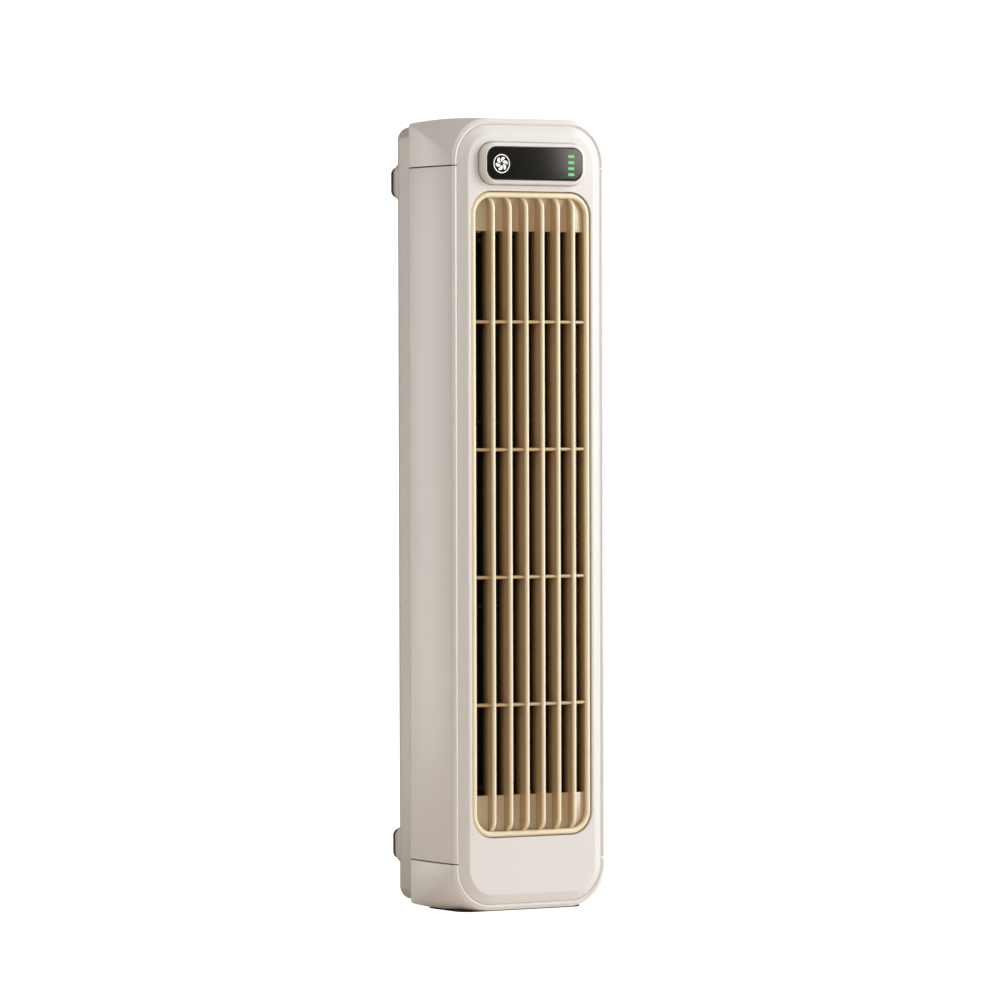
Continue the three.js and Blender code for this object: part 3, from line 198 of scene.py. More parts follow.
# %% Lights
def soft_light(name, azimuth, height, distance, width, tall, power, tone):
    """A rectangle of light that faces the middle of the fan from a given side."""
    data = bpy.data.lights.new(name, "AREA")
    data.shape = "RECTANGLE"
    data.size, data.size_y = width, tall
    data.energy = power
    data.color = tone
    light = bpy.data.objects.new(name, data)
    turn = math.radians(azimuth)
    light.location = (distance * math.sin(turn), -distance * math.cos(turn), height)
    target = Vector((0, 0, MIDDLE_Z * MM))
    light.rotation_euler = (target - light.location).to_track_quat("-Z", "Y").to_euler()
    bpy.context.scene.collection.objects.link(light)


soft_light("key_light", azimuth=58, height=0.6, distance=1.5, width=0.7, tall=1.5,
           power=25.6, tone=(0.915, 0.962, 1))
soft_light("front_fill", azimuth=-42, height=0.9, distance=2.0, width=0.8, tall=1.5,
           power=7, tone=(1, 0.905, 0.84))
soft_light("high_fill", azimuth=-60, height=1.55, distance=0.4, width=1.0, tall=1.0,
           power=5.5, tone=(1, 0.985, 0.97))
soft_light("side_sheen", azimuth=-149, height=0.19, distance=0.47, width=0.044, tall=0.4,
           power=0.39, tone=(1, 0.98, 0.95))
soft_light("window_glint", azimuth=37, height=0.352, distance=0.417, width=0.09, tall=0.07,
           power=0.125, tone=(1, 0.95, 0.85))

room = bpy.data.worlds.new("white_room")
room.use_nodes = True
room_sky = room.node_tree.nodes["Background"]
room_sky.inputs["Color"].default_value = (1, 0.99, 0.975, 1)
room_sky.inputs["Strength"].default_value = 0.19
bpy.context.scene.world = room
bpy.context.scene.view_settings.view_transform = "Standard"


# %% [markdown]
# ## Finishes
#
# Moulded plastic is never one flat colour. Its skin has a fine spark-eroded grain, its tone
# drifts a little over a hand's breadth, its edges are polished by handling, and dust settles
# on what faces up. Shade is painted in as well: a darker tone on faces that lie edge-on to
# the front, on marked points and on what lies deep, where shade falls between the fins and
# behind the band. Each of these is a node group, built once and placed in every material with
# that material's own values.

# %% Building blocks for node groups
def add_node(tree, kind, feeds, **settings):
    """A node with its properties set, and its inputs fed by values or by other nodes."""
    node = tree.nodes.new(kind)
    for name, value in settings.items():
        setattr(node, name, value)
    for name, value in feeds.items():
        if isinstance(value, bpy.types.NodeSocket):
            tree.links.new(value, node.inputs[name])
        else:
            node.inputs[name].default_value = value
    return node


def new_group(name, **inputs):
    """A shader group whose inputs have the given names and first values, and its inputs."""
    group = bpy.data.node_groups.new(name, "ShaderNodeTree")
    for label, value in inputs.items():
        kind = "NodeSocketColor" if isinstance(value, tuple) else "NodeSocketFloat"
        group.interface.new_socket(label, in_out="INPUT", socket_type=kind).default_value = value
    return group, group.nodes.new("NodeGroupInput").outputs


def put_out(group, **results):
    """Gives the group one output for each result, a colour or a plain value."""
    for label, socket in results.items():
        kind = "NodeSocketColor" if socket.type == "RGBA" else "NodeSocketFloat"
        group.interface.new_socket(label, in_out="OUTPUT", socket_type=kind)
    add_node(group, "NodeGroupOutput", results)
    print("group", group.name, "puts out", ", ".join(results))


def placed(tree, group, **feeds):
    """Places a group in a material and gives its outputs."""
    return add_node(tree, "ShaderNodeGroup", feeds, node_tree=group).outputs


def own_place(tree):
    """The point's place on its own object, so that patterns ride with the piece."""
    return tree.nodes.new("ShaderNodeTexCoord").outputs["Object"]


def surface(tree, label):
    """A property of the surface at the point, such as its normal."""
    return tree.nodes.new("ShaderNodeNewGeometry").outputs[label]


def one_axis(tree, vector, axis):
    """One of a vector's three values."""
    return add_node(tree, "ShaderNodeSeparateXYZ", {"Vector": vector}).outputs[axis]


def noise(tree, place, scale, detail=2.0):
    """Cloudy values round one half. The scale is the number of clouds to the metre."""
    feeds = {"Vector": place, "Scale": scale, "Detail": detail}
    return add_node(tree, "ShaderNodeTexNoise", feeds).outputs["Fac"]


def ranged(tree, value, from_low, from_high, to_low=0.0, to_high=1.0):
    """The value carried evenly from one range to another, and held at both ends."""
    feeds = {"Value": value, "From Min": from_low, "From Max": from_high, "To Min": to_low,
             "To Max": to_high}
    return add_node(tree, "ShaderNodeMapRange", feeds).outputs["Result"]


def maths(tree, operation, first, second=0.0, use_clamp=False):
    """One operation with two values, held between nought and one if asked."""
    return add_node(tree, "ShaderNodeMath", {0: first, 1: second}, operation=operation,
                    use_clamp=use_clamp).outputs[0]


def mixed(tree, share, colour, tone):
    """The colour, which gives way to a plain tone by a share."""
    return add_node(tree, "ShaderNodeMix", {0: share, 6: colour, 7: (*tone, 1)},
                    data_type="RGBA").outputs[2]


print("node helpers ready")

# %% Group: the skin of moulded plastic
group, given = new_group("moulded_skin", Colour=(0.8, 0.8, 0.8, 1), Drift=0.04, Roughness=0.4,
                         Scale=2500.0)
place = own_place(group)
drift = ranged(group, noise(group, place, 9.0, detail=1.5), 0.3, 0.7, -1, 1)
lighter = maths(group, "ADD", maths(group, "MULTIPLY", drift, given["Drift"]), 1.0)
tone = add_node(group, "ShaderNodeHueSaturation", {"Value": lighter, "Color": given["Colour"]})
patches = ranged(group, noise(group, place, 55.0, detail=3.0), 0.3, 0.7, -0.003, 0.003)
put_out(group, Colour=tone.outputs["Color"],
        Roughness=maths(group, "ADD", patches, given["Roughness"]),
        Grain=noise(group, place, given["Scale"]))
skin_group = group

# %% Group: polish along the edges
group, _ = new_group("handled_edges")
broken = ranged(group, noise(group, own_place(group), 120.0), 0.35, 0.6)
sharp = ranged(group, surface(group, "Pointiness"), 0.505, 0.56)
put_out(group, Mask=maths(group, "MULTIPLY", sharp, broken))
edge_group = group

# %% Group: dust on what faces up
group, given = new_group("settled_dust", Amount=0.2)
specks = ranged(group, noise(group, own_place(group), 900.0, detail=4.0), 0.45, 0.7)
facing_up = ranged(group, one_axis(group, surface(group, "Normal"), "Z"), 0.3, 1.0)
lying = maths(group, "MULTIPLY", facing_up, specks)
put_out(group, Mask=maths(group, "MULTIPLY", lying, given["Amount"]))
dust_group = group

# %% Group: painted shade on edge-on faces, on marked points and with depth
group, given = new_group("painted_depth_shade", Front=0.0, Reach=0.01, Sides=0.0)
behind = maths(group, "SUBTRACT", one_axis(group, own_place(group), "Y"), given["Front"])
deep = maths(group, "DIVIDE", behind, given["Reach"], use_clamp=True)
squarely = maths(group, "ABSOLUTE", one_axis(group, surface(group, "Normal"), "Y"))
side_on = maths(group, "SUBTRACT", 1.0, squarely)
flank_shade = maths(group, "MULTIPLY", side_on, given["Sides"])
# Points marked on the ribs get painted shade.
rib_shade_share = add_node(group, "ShaderNodeAttribute", {}, attribute_name="painted_rib_shade").outputs["Fac"]
# Bare is painted shade that grows with depth. Thin is painted shade on edge-on faces and marked
# points, and it fills four times as fast with depth.
put_out(group, Bare=deep,
        Thin=maths(group, "ADD", maths(group, "ADD", flank_shade, rib_shade_share),
                   maths(group, "MULTIPLY", deep, 4.0), use_clamp=True))
painted_shade_group = group


# %% [markdown]
# ## A finish from its parts
#
# One function lays the groups over a Principled shader. The numbers that belong to
# the whole surface, such as metal, coat and glow, are set on the shader's own sockets, so
# that they survive in other programs.

# %% Plastic, rubber and metal finishes
DUST_TONE = (0.42, 0.39, 0.35)
DUST_ROUGHNESS = 0.3
# Depths where the grille's painted shade starts and where it is full.
SHADE_STARTS_Y, SHADE_FULL_Y = -26.6, -21.7
CASE_TONE = (0.80, 0.765, 0.735)


def finish(name, colour, roughness, drift=0.03, grain=0.02, grain_scale=2500.0, polish=0.1,
           dust=0.1, worn_tone=None, depth_shade=None, side_shade=None, **sockets):
    """Principled material with drifting tone, grain, polished edges, settled dust and painted
    shade.
    grain is the bump's height in millimetres, polish how much smoother an edge is. depth_shade is
    a painted shade: its tone, the depth where it starts and where it is full. side_shade is a
    painted shade on faces that lie edge-on to the front, on the ribs and deeper in: its tone, and
    how strong it is on edge-on faces."""
    material = bpy.data.materials.new(name)
    material.use_nodes = True
    tree = material.node_tree
    skin = placed(tree, skin_group, Colour=(*colour, 1), Drift=drift, Roughness=roughness,
                  Scale=grain_scale)
    edges = placed(tree, edge_group)["Mask"]
    settled = placed(tree, dust_group, Amount=dust)["Mask"]
    worn = worn_tone or tuple(min(1.0, value * 1.06 + 0.01) for value in colour)
    shade = mixed(tree, edges, skin["Colour"], worn)
    if depth_shade:
        deep_shade_tone, front, back = depth_shade
        side_shade_tone, sides = side_shade or (None, 0.0)
        shade_masks = placed(tree, painted_shade_group, Front=front * MM, Reach=(back - front) * MM, Sides=sides)
        if side_shade:
            shade = mixed(tree, shade_masks["Thin"], shade, side_shade_tone)
        shade = mixed(tree, shade_masks["Bare"], shade, deep_shade_tone)
    shade = mixed(tree, settled, shade, DUST_TONE)
    smoothed = maths(tree, "ADD", skin["Roughness"], maths(tree, "MULTIPLY", edges, -polish))
    rough = maths(tree, "ADD", smoothed, maths(tree, "MULTIPLY", settled, DUST_ROUGHNESS))
    bump = add_node(tree, "ShaderNodeBump", {"Strength": 1.0, "Distance": grain * MM,
                                             "Height": skin["Grain"]})
    shader = tree.nodes["Principled BSDF"]
    for label, source in (("Base Color", shade), ("Roughness", rough),
                          ("Normal", bump.outputs["Normal"])):
        tree.links.new(source, shader.inputs[label])
    for label, value in sockets.items():
        shader.inputs[label.replace("_", " ")].default_value = value
    return material


FINISHES = {
    # The case turns darker behind the band's rear edge: painted shade on the rear tray, which is
    # the same plastic as the band.
    "case": finish("warm_white_plastic", CASE_TONE, 0.32, drift=0.004, grain=0.003,
                   polish=0.0, dust=0.08, worn_tone=CASE_TONE,
                   depth_shade=((0.53, 0.49, 0.45), BAND_REAR_Y, BAND_REAR_Y + 0.2)),
    # The grille carries painted shade: a warm brown on faces edge-on to the front and on the ribs,
    # near black deeper in, where shade falls between the fins.
    "grille": finish("champagne_plastic", (0.95, 0.835, 0.59), 0.26, drift=0.02, grain=0.006,
                     dust=0.05, worn_tone=(0.96, 0.855, 0.635),
                     depth_shade=((0.03, 0.02, 0.011), SHADE_STARTS_Y, SHADE_FULL_Y),
                     side_shade=((0.48, 0.325, 0.16), 0.95)),
    "window": finish("dark_display_glass", (0.004, 0.0028, 0.0014), 0.10, drift=0.1,
                     grain=0.0005, polish=0.0, dust=0.02),
    # The print's faint emission is a painted glow that brightens it.
    "print": finish("white_symbol_print", (0.85, 0.85, 0.84), 0.5, grain=0.002, dust=0,
                    Emission_Color=(1, 1, 1, 1), Emission_Strength=0.25),
    "lamp": finish("green_indicator", (0.10, 0.48, 0.13), 0.35, drift=0.15, grain=0.002, dust=0,
                   Emission_Color=(0.14, 0.66, 0.18, 1), Emission_Strength=0.3),
    "clear": finish("clear_light_guide", (0.78, 0.9, 0.79), 0.15, grain=0.002, dust=0,
                    Transmission_Weight=0.9),
    "board": finish("green_board_lacquer", (0.02, 0.11, 0.05), 0.4, drift=0.12, grain=0.006,
                    dust=0.2),
    "dark_rubber": finish("dark_rubber", (0.022, 0.021, 0.020), 0.72, drift=0.15, grain=0.03,
                          grain_scale=3500.0, polish=0.15, dust=0.3),
    "duct": finish("champagne_duct_plastic", (0.58, 0.42, 0.23), 0.5, drift=0.05, dust=0.3),
    "wheel": finish("dark_wheel_plastic", (0.045, 0.033, 0.024), 0.48, drift=0.12, grain=0.015,
                    dust=0.5),
    "steel": finish("bright_steel", (0.58, 0.58, 0.57), 0.28, drift=0.06, grain=0.004,
                    Metallic=1.0),
    "bronze": finish("sintered_bronze", (0.55, 0.34, 0.15), 0.42, drift=0.1, Metallic=1.0),
    "battery": finish("blue_shrink_wrap", (0.03, 0.09, 0.28), 0.32, drift=0.12, grain=0.01),
}
slots_of_nodes = {part["node"]: part["material_slot"] for part in frame["record"]["subparts"]}
for node_name, node_object in frame["nodes"].items():
    node_object.data.materials.clear()
    node_object.data.materials.append(FINISHES[slots_of_nodes[node_name]])
print("finishes:", ", ".join(sorted(FINISHES)))


# %% [markdown]
# ## Shells
#
# Every new piece is gathered in a shell: patches of points and faces in millimetres. When
# the shell is done, points that fall together are merged, the faces are turned outwards and
# the whole enters one mesh. Edges sharper than a given angle stay crisp, the rest are
# shaded smooth. A narrow flat land beside each rounded edge keeps that shading honest.

# %% The shell that collects patches
class Shell:
    """Patches of points in millimetres, with their faces, that become one closed mesh."""

    def __init__(self):
        self.points, self.faces, self.count = [], [], 0

    def patch(self, points, faces):
        """Adds points with their own faces."""
        points = np.array(points, float).reshape(-1, 3)
        self.points.append(points)
        self.faces += [[int(corner) + self.count for corner in face] for face in faces]
        self.count += len(points)

    def grid(self, rows, close_rows=False, close_columns=True):
        """Adds a surface given as rows of points."""
        self.patch(rows, grid_faces(*rows.shape[:2], close_rows, close_columns).tolist())

    def bar(self, rows):
        """Adds a closed surface whose first and last row are closed with one face each."""
        self.grid(rows)
        for ring in (rows[0], rows[-1]):
            self.patch(ring, [range(len(ring))])

    def plate(self, rings):
        """Fills the upright flat area between an outer ring and the rings of its holes."""
        flat = [Vector((x, z)) for ring in rings for x, _, z in ring.tolist()]
        starts = np.cumsum([0, *map(len, rings)]).tolist()
        bounds = [list(range(*ends)) for ends in zip(starts, starts[1:])]
        found, _, faces, *_ = delaunay_2d_cdt(flat, [], bounds, 2, 1e-7)
        found = np.array([tuple(point) for point in found])
        self.patch(upright(found, rings[0][0, 1]), faces)

    def pierced(self, edges):
        """Adds an outer edge and its holes' edges, and fills both faces between them."""
        for edge in edges:
            self.grid(edge)
        for end in (0, -1):
            self.plate([edge[end] for edge in edges])

    def piece(self, name, body, slot_name, nodes=(), crease=38):
        """Makes the mesh object, gives it its finish and fixes it to its body."""
        mesh = bpy.data.meshes.new(name)
        mesh.from_pydata((np.concatenate(self.points) * MM).tolist(), [], self.faces)
        work = bmesh.new()
        work.from_mesh(mesh)
        bmesh.ops.remove_doubles(work, verts=work.verts, dist=2e-6)
        bmesh.ops.dissolve_degenerate(work, edges=work.edges, dist=1e-7)
        bmesh.ops.recalc_face_normals(work, faces=work.faces)
        work.to_mesh(mesh)
        open_edges = sum(not edge.is_manifold for edge in work.edges)
        work.free()
        mesh.polygons.foreach_set("use_smooth", np.ones(len(mesh.polygons), bool))
        mesh.set_sharp_from_angle(angle=math.radians(crease))
        mesh.materials.append(FINISHES[slot_name])
        made = bpy.data.objects.new(name, mesh)
        bpy.context.scene.collection.objects.link(made)
        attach(made, body)
        if nodes:
            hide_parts(*nodes)
        print(f"{name}: {len(mesh.vertices)} points, {open_edges} open edges")
        return made


# %% Outlines, turned surfaces and rounds
def outline_table(turns):
    """Signs and angle of each point round a corner-rounded rectangle. Along a quarter turn
    the signs are its corner's and the angle runs through 90 degrees. Along a straight run
    the angle stays and one sign goes from one corner's to the next."""
    runs = (0.01, 0.5, 0.99)
    corners = np.array([(1, -1), (1, 1), (-1, 1), (-1, -1)], float)
    share = np.concatenate([np.zeros(turns + 1), runs])
    bend = np.concatenate([np.linspace(0, 90, turns + 1), np.full(len(runs), 90.0)])
    following = np.roll(corners, -1, axis=0)
    signs = corners[:, None] * (1 - share[:, None]) + following[:, None] * share[:, None]
    angles = np.radians(np.array([-90, 0, 90, 180])[:, None] + bend)
    return signs.reshape(-1, 2), angles.ravel()


def outline(half_width, half_height, corner, turns=14, middle=(0.0, MIDDLE_Z)):
    """Points (sx (w - r) + r cos a, sz (h - r) + r sin a) round a rounded rectangle."""
    signs, angle = outline_table(turns)
    width, height, radius = (np.asarray(value, float)[..., None]
                             for value in (half_width, half_height, corner))
    across = middle[0] + signs[:, 0] * (width - radius) + radius * np.cos(angle)
    up = middle[1] + signs[:, 1] * (height - radius) + radius * np.sin(angle)
    return np.stack([across, up], axis=-1)


def upright(flat, depth):
    """Stands flat outlines up at their depths: (x, z) becomes (x, depth, z)."""
    depth = np.broadcast_to(np.asarray(depth, float)[..., None], flat.shape[:-1])
    return np.stack([flat[..., 0], depth, flat[..., 1]], axis=-1)


def level(flat, height):
    """Lays flat outlines level at their heights: (x, y) becomes (x, y, height)."""
    height = np.broadcast_to(np.asarray(height, float)[..., None], flat.shape[:-1])
    return np.stack([flat[..., 0], flat[..., 1], height], axis=-1)


def inset_rings(size, profile, turns=14, middle=(0.0, MIDDLE_Z), sharpest=0.0):
    """Upright rounded rectangles, one for each row of a profile, which says how far it lies
    inside the size (half width, half height, corner radius) and at which depth."""
    inset, depth = np.asarray(profile, float).T
    half_width, half_height, corner = size
    return upright(outline(half_width - inset, half_height - inset,
                           np.maximum(corner - inset, sharpest), turns, middle), depth)


def turned(profile, middle, sides=24):
    """Points (x + r cos a, y, z + r sin a) of an (r, y) profile spun about a front-to-back
    axis through middle."""
    radius, depth = np.asarray(profile, float).T
    angle = np.linspace(0, 2 * np.pi, sides, endpoint=False)
    flat = np.stack([middle[0] + radius[:, None] * np.cos(angle),
                     middle[1] + radius[:, None] * np.sin(angle)], axis=-1)
    return upright(flat, depth)


def quarter(steps):
    """Shares (1 - cos t, 1 - sin t) of a quarter round, t from 0 to 90 degrees: how far it
    has come in from the side, and how far it still lies under the top."""
    turn = np.linspace(0, np.pi / 2, steps + 1)
    return 1 - np.cos(turn), 1 - np.sin(turn)


def softened(before, corner, after, steps=6):
    """Curve (1-t)^2 before + 2 t (1-t) corner + t^2 after, which rounds off a corner."""
    t = np.linspace(0, 1, steps + 1)[:, None]
    return ((1 - t) ** 2 * np.array(before) + 2 * t * (1 - t) * np.array(corner)
            + t ** 2 * np.array(after))


print("points round an outline:", len(outline(10, 10, 2)))


# %% [markdown]
# ## The band round the case
#
# Two side panels and two end caps share one section: a nearly flat skin, a bevelled lip that
# stands round the front, a shallow step down inside it, and a thin inner wall. A real mould
# shop would sweep that section along the case's rounded outline. The same happens here, but
# each point of the section keeps its own outline, because the corner radius shrinks from
# 18 mm at the lip to 1 mm at the rear. The ends at the seams get a tiny round, so that each
# seam is a soft dark line.

# %% Section of the band
SEAM = 0.5
SEAM_ROUND = 0.18
CAP_HEIGHT = 20.2
HEEL = 3.0
REAR_EDGE = 0.5
INNER_STEP = 24
INNER_CORNERS = 10, 6
LIP_BEVEL = [(0, 1), (0.04, 0.84), (0.12, 0.70), (0.24, 0.60), (1.2, 0.12), (1.32, 0.05),
             (1.42, 0.01), (1.5, 0)]
LIP_FALL = 0.45
SEAM_TOP_Z = MIDDLE_Z + HALF_HEIGHT - CAP_HEIGHT
SEAM_BOTTOM_Z = MIDDLE_Z - HALF_HEIGHT + CAP_HEIGHT


def band_size(depth):
    """Half width, half height and corner radius of the skin at a depth: each narrows with the
    square of the distance from the widest place, while the corner shrinks evenly."""
    share = (depth - LIP_Y) / BAND_DEPTH
    draw = ((share - WIDEST_AT) / (1 - WIDEST_AT)) ** 2
    return (HALF_WIDTH - SIDE_DRAW * draw, HALF_HEIGHT - TOP_DRAW * draw,
            FRONT_CORNER + (REAR_CORNER - FRONT_CORNER) * share)


def band_section():
    """Columns inset, depth and corner radius, once round the band's wall. The lip falls to
    the groove along d (3 t^2 - 2 t^3)."""
    inward, under = quarter(4)
    rear_edge = np.column_stack([REAR_EDGE * under, BAND_REAR_Y - REAR_EDGE * inward])
    skin_depth = np.linspace(BAND_REAR_Y - REAR_EDGE, LIP_Y + LIP_ROUND, 30)[1:-1]
    skin = np.column_stack([np.zeros_like(skin_depth), skin_depth])
    lip = LIP_ROUND * np.array(LIP_BEVEL) + (0, LIP_Y)
    share = np.linspace(0, 1, 7)[1:]
    fall = np.column_stack([1.5 * LIP_ROUND + LIP_FALL * share,
                            LIP_Y + GROOVE_DEPTH * share ** 2 * (3 - 2 * share)])
    inner = [(LIP_WIDTH - 0.04, GROOVE_Y), (LIP_WIDTH, GROOVE_Y + 0.05),
             (LIP_WIDTH, GROOVE_Y + HEEL), (WALL, GROOVE_Y + HEEL + LIP_WIDTH - WALL),
             (WALL, LIP_Y + INNER_STEP), (WALL, BAND_REAR_Y)]
    section = np.concatenate([rear_edge, skin, lip, fall, inner])
    corner = band_size(section[:, 1])[2] - section[:, 0]
    corner[-2:] = INNER_CORNERS
    return np.column_stack([section, corner])


def drawn_in(section, amount):
    """The section moved inwards by amount, square to its own outline."""
    flat = section[:, :2]
    following = np.roll(flat, -1, axis=0)
    along = following - np.roll(flat, 1, axis=0)
    normal = np.stack([along[:, 1], -along[:, 0]], axis=1)
    normal /= np.linalg.norm(normal, axis=1, keepdims=True)
    twice_area = np.sum(flat[:, 0] * following[:, 1] - following[:, 0] * flat[:, 1])
    moved = section.copy()
    moved[:, :2] -= np.sign(twice_area) * amount * normal
    return moved


def seam_end(side, heights, amounts):
    """The section at some heights of a straight run, x = side * half width at each depth,
    drawn in by an amount at each height."""
    rows = []
    for height, amount in zip(heights, amounts):
        shape = drawn_in(section, amount)
        half_width = band_size(shape[:, 1])[0] - shape[:, 0]
        rows.append(np.column_stack([side * half_width, shape[:, 1],
                                     np.full(len(shape), height)]))
    return np.array(rows)


section = band_section()
print("points in the band's section:", len(section))

# %% Side panels
low, high = SEAM_BOTTOM_Z + SEAM / 2, SEAM_TOP_Z - SEAM / 2
seam_inward, seam_under = (SEAM_ROUND * share for share in quarter(3))
for side, side_name in ((-1, "left"), (1, "right")):
    shell = Shell()
    shell.bar(seam_end(side, np.concatenate([low + seam_inward, high - seam_inward[::-1]]),
                       np.concatenate([seam_under, seam_under[::-1]])))
    shell.piece(f"{side_name}_side_skin", "case", "case", [f"{side_name}_side_panel"])


# %% End caps
def cap_sweep(up, corner_steps=18):
    """The section carried from one seam, round two corners, to the other seam: a leg with a
    rounded end, then sx (w - r) + r cos a and sz (h - r) + r sin a round the two corners."""
    seam = SEAM_TOP_Z + SEAM / 2 if up > 0 else SEAM_BOTTOM_Z - SEAM / 2
    leg = seam_end(1, seam + up * seam_inward, seam_under)
    half_width, half_height, _ = band_size(section[:, 1])
    half_width, half_height = half_width - section[:, 0], half_height - section[:, 0]
    radius = section[:, 2]
    turn = np.radians(np.linspace(0, 90, corner_steps + 1))
    sign = np.concatenate([np.ones(corner_steps + 1), [0.99, 0.5]])[:, None]
    angle = np.concatenate([turn, [np.pi / 2] * 2])[:, None]
    half = np.stack([sign * (half_width - radius) + radius * np.cos(angle),
                     np.broadcast_to(section[:, 1], (len(angle), len(section))),
                     MIDDLE_Z + up * (half_height - radius + radius * np.sin(angle))], axis=-1)
    right = np.concatenate([leg, half])
    left = right[::-1] * np.array([-1, 1, 1])
    middle = half[-1:] * np.array([0, 1, 1])
    return np.concatenate([right, middle, left])


for up, cap_name in ((1, "top"), (-1, "bottom")):
    shell = Shell()
    shell.bar(cap_sweep(up))
    shell.piece(f"{cap_name}_cap_skin", "case", "case", [f"{cap_name}_cap"])


# %% [markdown]
# ## The front panel
#
# One moulding: a flat face inside a sloping rim that falls into the groove, two openings,
# and behind it four posts for the housing screws. The rim is a row of outlines at growing
# depth. The flat face is filled between its border and the openings, and each opening has a
# small round on its edge. The display's opening is a narrow moat wider than its rim.

# %% Front panel
FLANGE = 1.0
RIM_WIDTH = 0.9
WINDOW_INSET = RIM_WIDTH + GAP
OUTLET_HALF_WIDTH = span("outlet_grille", X)[1] - FLANGE + GAP
OUTLET_HALF_HEIGHT = span("outlet_grille", Z)[1] - FLANGE + GAP - MIDDLE_Z
OUTLET_CORNER = 10.0
DISPLAY_MIDDLE = (0.0, centre("display_window", Z))
DISPLAY_HALF_WIDTH = span("display_window", X)[1] + WINDOW_INSET
DISPLAY_HALF_HEIGHT = span("display_window", Z)[1] + WINDOW_INSET - DISPLAY_MIDDLE[1]
DISPLAY_CORNER = 5.5
BEZEL_SKIRT = span("display_bezel", X)[1] - DISPLAY_HALF_WIDTH
MOAT_SIDE, MOAT_LEVEL, MOAT_ROUND = 0.4, 0.1, 0.4
OPENING_ROUND = 0.15
LAND = 0.25
PANEL_JOINT = 0.06
SKIRT_DEPTH, SKIRT_WALL = 4.2, 1.7
POST_RADIUS, BORE_RADIUS = 3.0, 1.7
POST_ROOT, BORE_END = 0.4, 13
PAD_MIDDLES = [tuple(centre(f"rear_pad_{i}", axis) for axis in (X, Z)) for i in (1, 2, 3, 4)]


def edge_profile(radius, face=0.0, inwards=1, outer=0.0):
    """Inset and depth of an opening's edge: a land on the face, a quarter round, then
    through the wall. It widens towards the face, so its insets are negative."""
    inward, under = quarter(3)
    spread = np.concatenate([[radius + LAND], radius * under, [0]]) + outer
    return np.column_stack([-spread, face + inwards * np.concatenate([[0], radius * inward,
                                                                      [WALL]])])


foot_inset = LIP_WIDTH + PANEL_JOINT
foot = np.array([foot_inset, GROOVE_Y])
slope = np.array([PANEL_INSET, PANEL_Y]) - foot
skirt_inset = foot_inset + SKIRT_WALL
rim = np.concatenate([
    [(PANEL_INSET + 0.65, PANEL_Y)],
    softened((PANEL_INSET + 0.45, PANEL_Y), (PANEL_INSET, PANEL_Y), foot + 0.88 * slope),
    softened(foot + 0.04 * slope, (foot_inset + 0.02, GROOVE_Y),
             (foot_inset, GROOVE_Y + 0.1), steps=3),
    [(foot_inset, GROOVE_Y + SKIRT_DEPTH), (skirt_inset, GROOVE_Y + SKIRT_DEPTH),
     (skirt_inset, GROOVE_Y + 0.5), (PANEL_INSET, PANEL_Y + WALL)]])
edges = [
    inset_rings(band_size(LIP_Y), rim, turns=18),
    inset_rings((OUTLET_HALF_WIDTH, OUTLET_HALF_HEIGHT, OUTLET_CORNER),
                edge_profile(OPENING_ROUND, PANEL_Y)),
    inset_rings((DISPLAY_HALF_WIDTH + MOAT_SIDE, DISPLAY_HALF_HEIGHT, DISPLAY_CORNER),
                edge_profile(MOAT_ROUND, PANEL_Y, outer=BEZEL_SKIRT + MOAT_LEVEL),
                middle=DISPLAY_MIDDLE)]
shell = Shell()
shell.pierced(edges)
post_profile = [(0, PANEL_Y + WALL - POST_ROOT), (POST_RADIUS, PANEL_Y + WALL - POST_ROOT),
                (POST_RADIUS, BACK_INNER_Y - GAP), (BORE_RADIUS, BACK_INNER_Y - GAP),
                (BORE_RADIUS, BACK_Y - BORE_END), (0, BACK_Y - BORE_END)]
for middle in PAD_MIDDLES:
    shell.grid(turned(post_profile, middle))
shell.piece("front_panel", "case", "case", ["front_cover"])


# %% [markdown]
# ## The outlet grille
#
# A single champagne moulding: a rounded bead follows the opening, and six fins a finger deep
# stand upright in it. Their fronts lie on a shallow bow that stands proud of the bead. Four
# thin ribs tie them behind their noses, and at both ends a plate closes the space between
# them. Each fin is one surface: a nose and two sides that close in to a thin tail, carried
# from top to bottom. Near its ends the nose sweeps back through a quarter circle. The ribs
# carry a painted shade, marked on their points, for the shade of the fins round them.

# %% Grille frame
GRILLE_Y = PANEL_Y + GAP
GRILLE_BACK_Y = span("outlet_grille", Y)[1]
GRILLE_RISE = 0.5
BEAD_WIDTH = 2.65
FLANGE_THICKNESS = 1.5
FIN_COUNT = 6
FIN_THICKNESS, FIN_TAIL = 2.0, 1.3
FIN_PROUD = 3.4
FIN_BOW_RADIUS, FIN_END_RADIUS = 190.0, 5.0
RIB_COUNT = 4
RIB_PITCH = 53.0
RIB_THICKNESS = 1.4
RIB_SETBACK, RIB_TAIL = 0.9, 0.5
RIB_SHADE = 0.8
BLANK_HEIGHT = 14.3
BLANK_SETBACK = 2.0
BLANK_THICKNESS = 1.5
ROOT = 0.4
frame_size = OUTLET_HALF_WIDTH - GAP, OUTLET_HALF_HEIGHT - GAP, OUTLET_CORNER - GAP

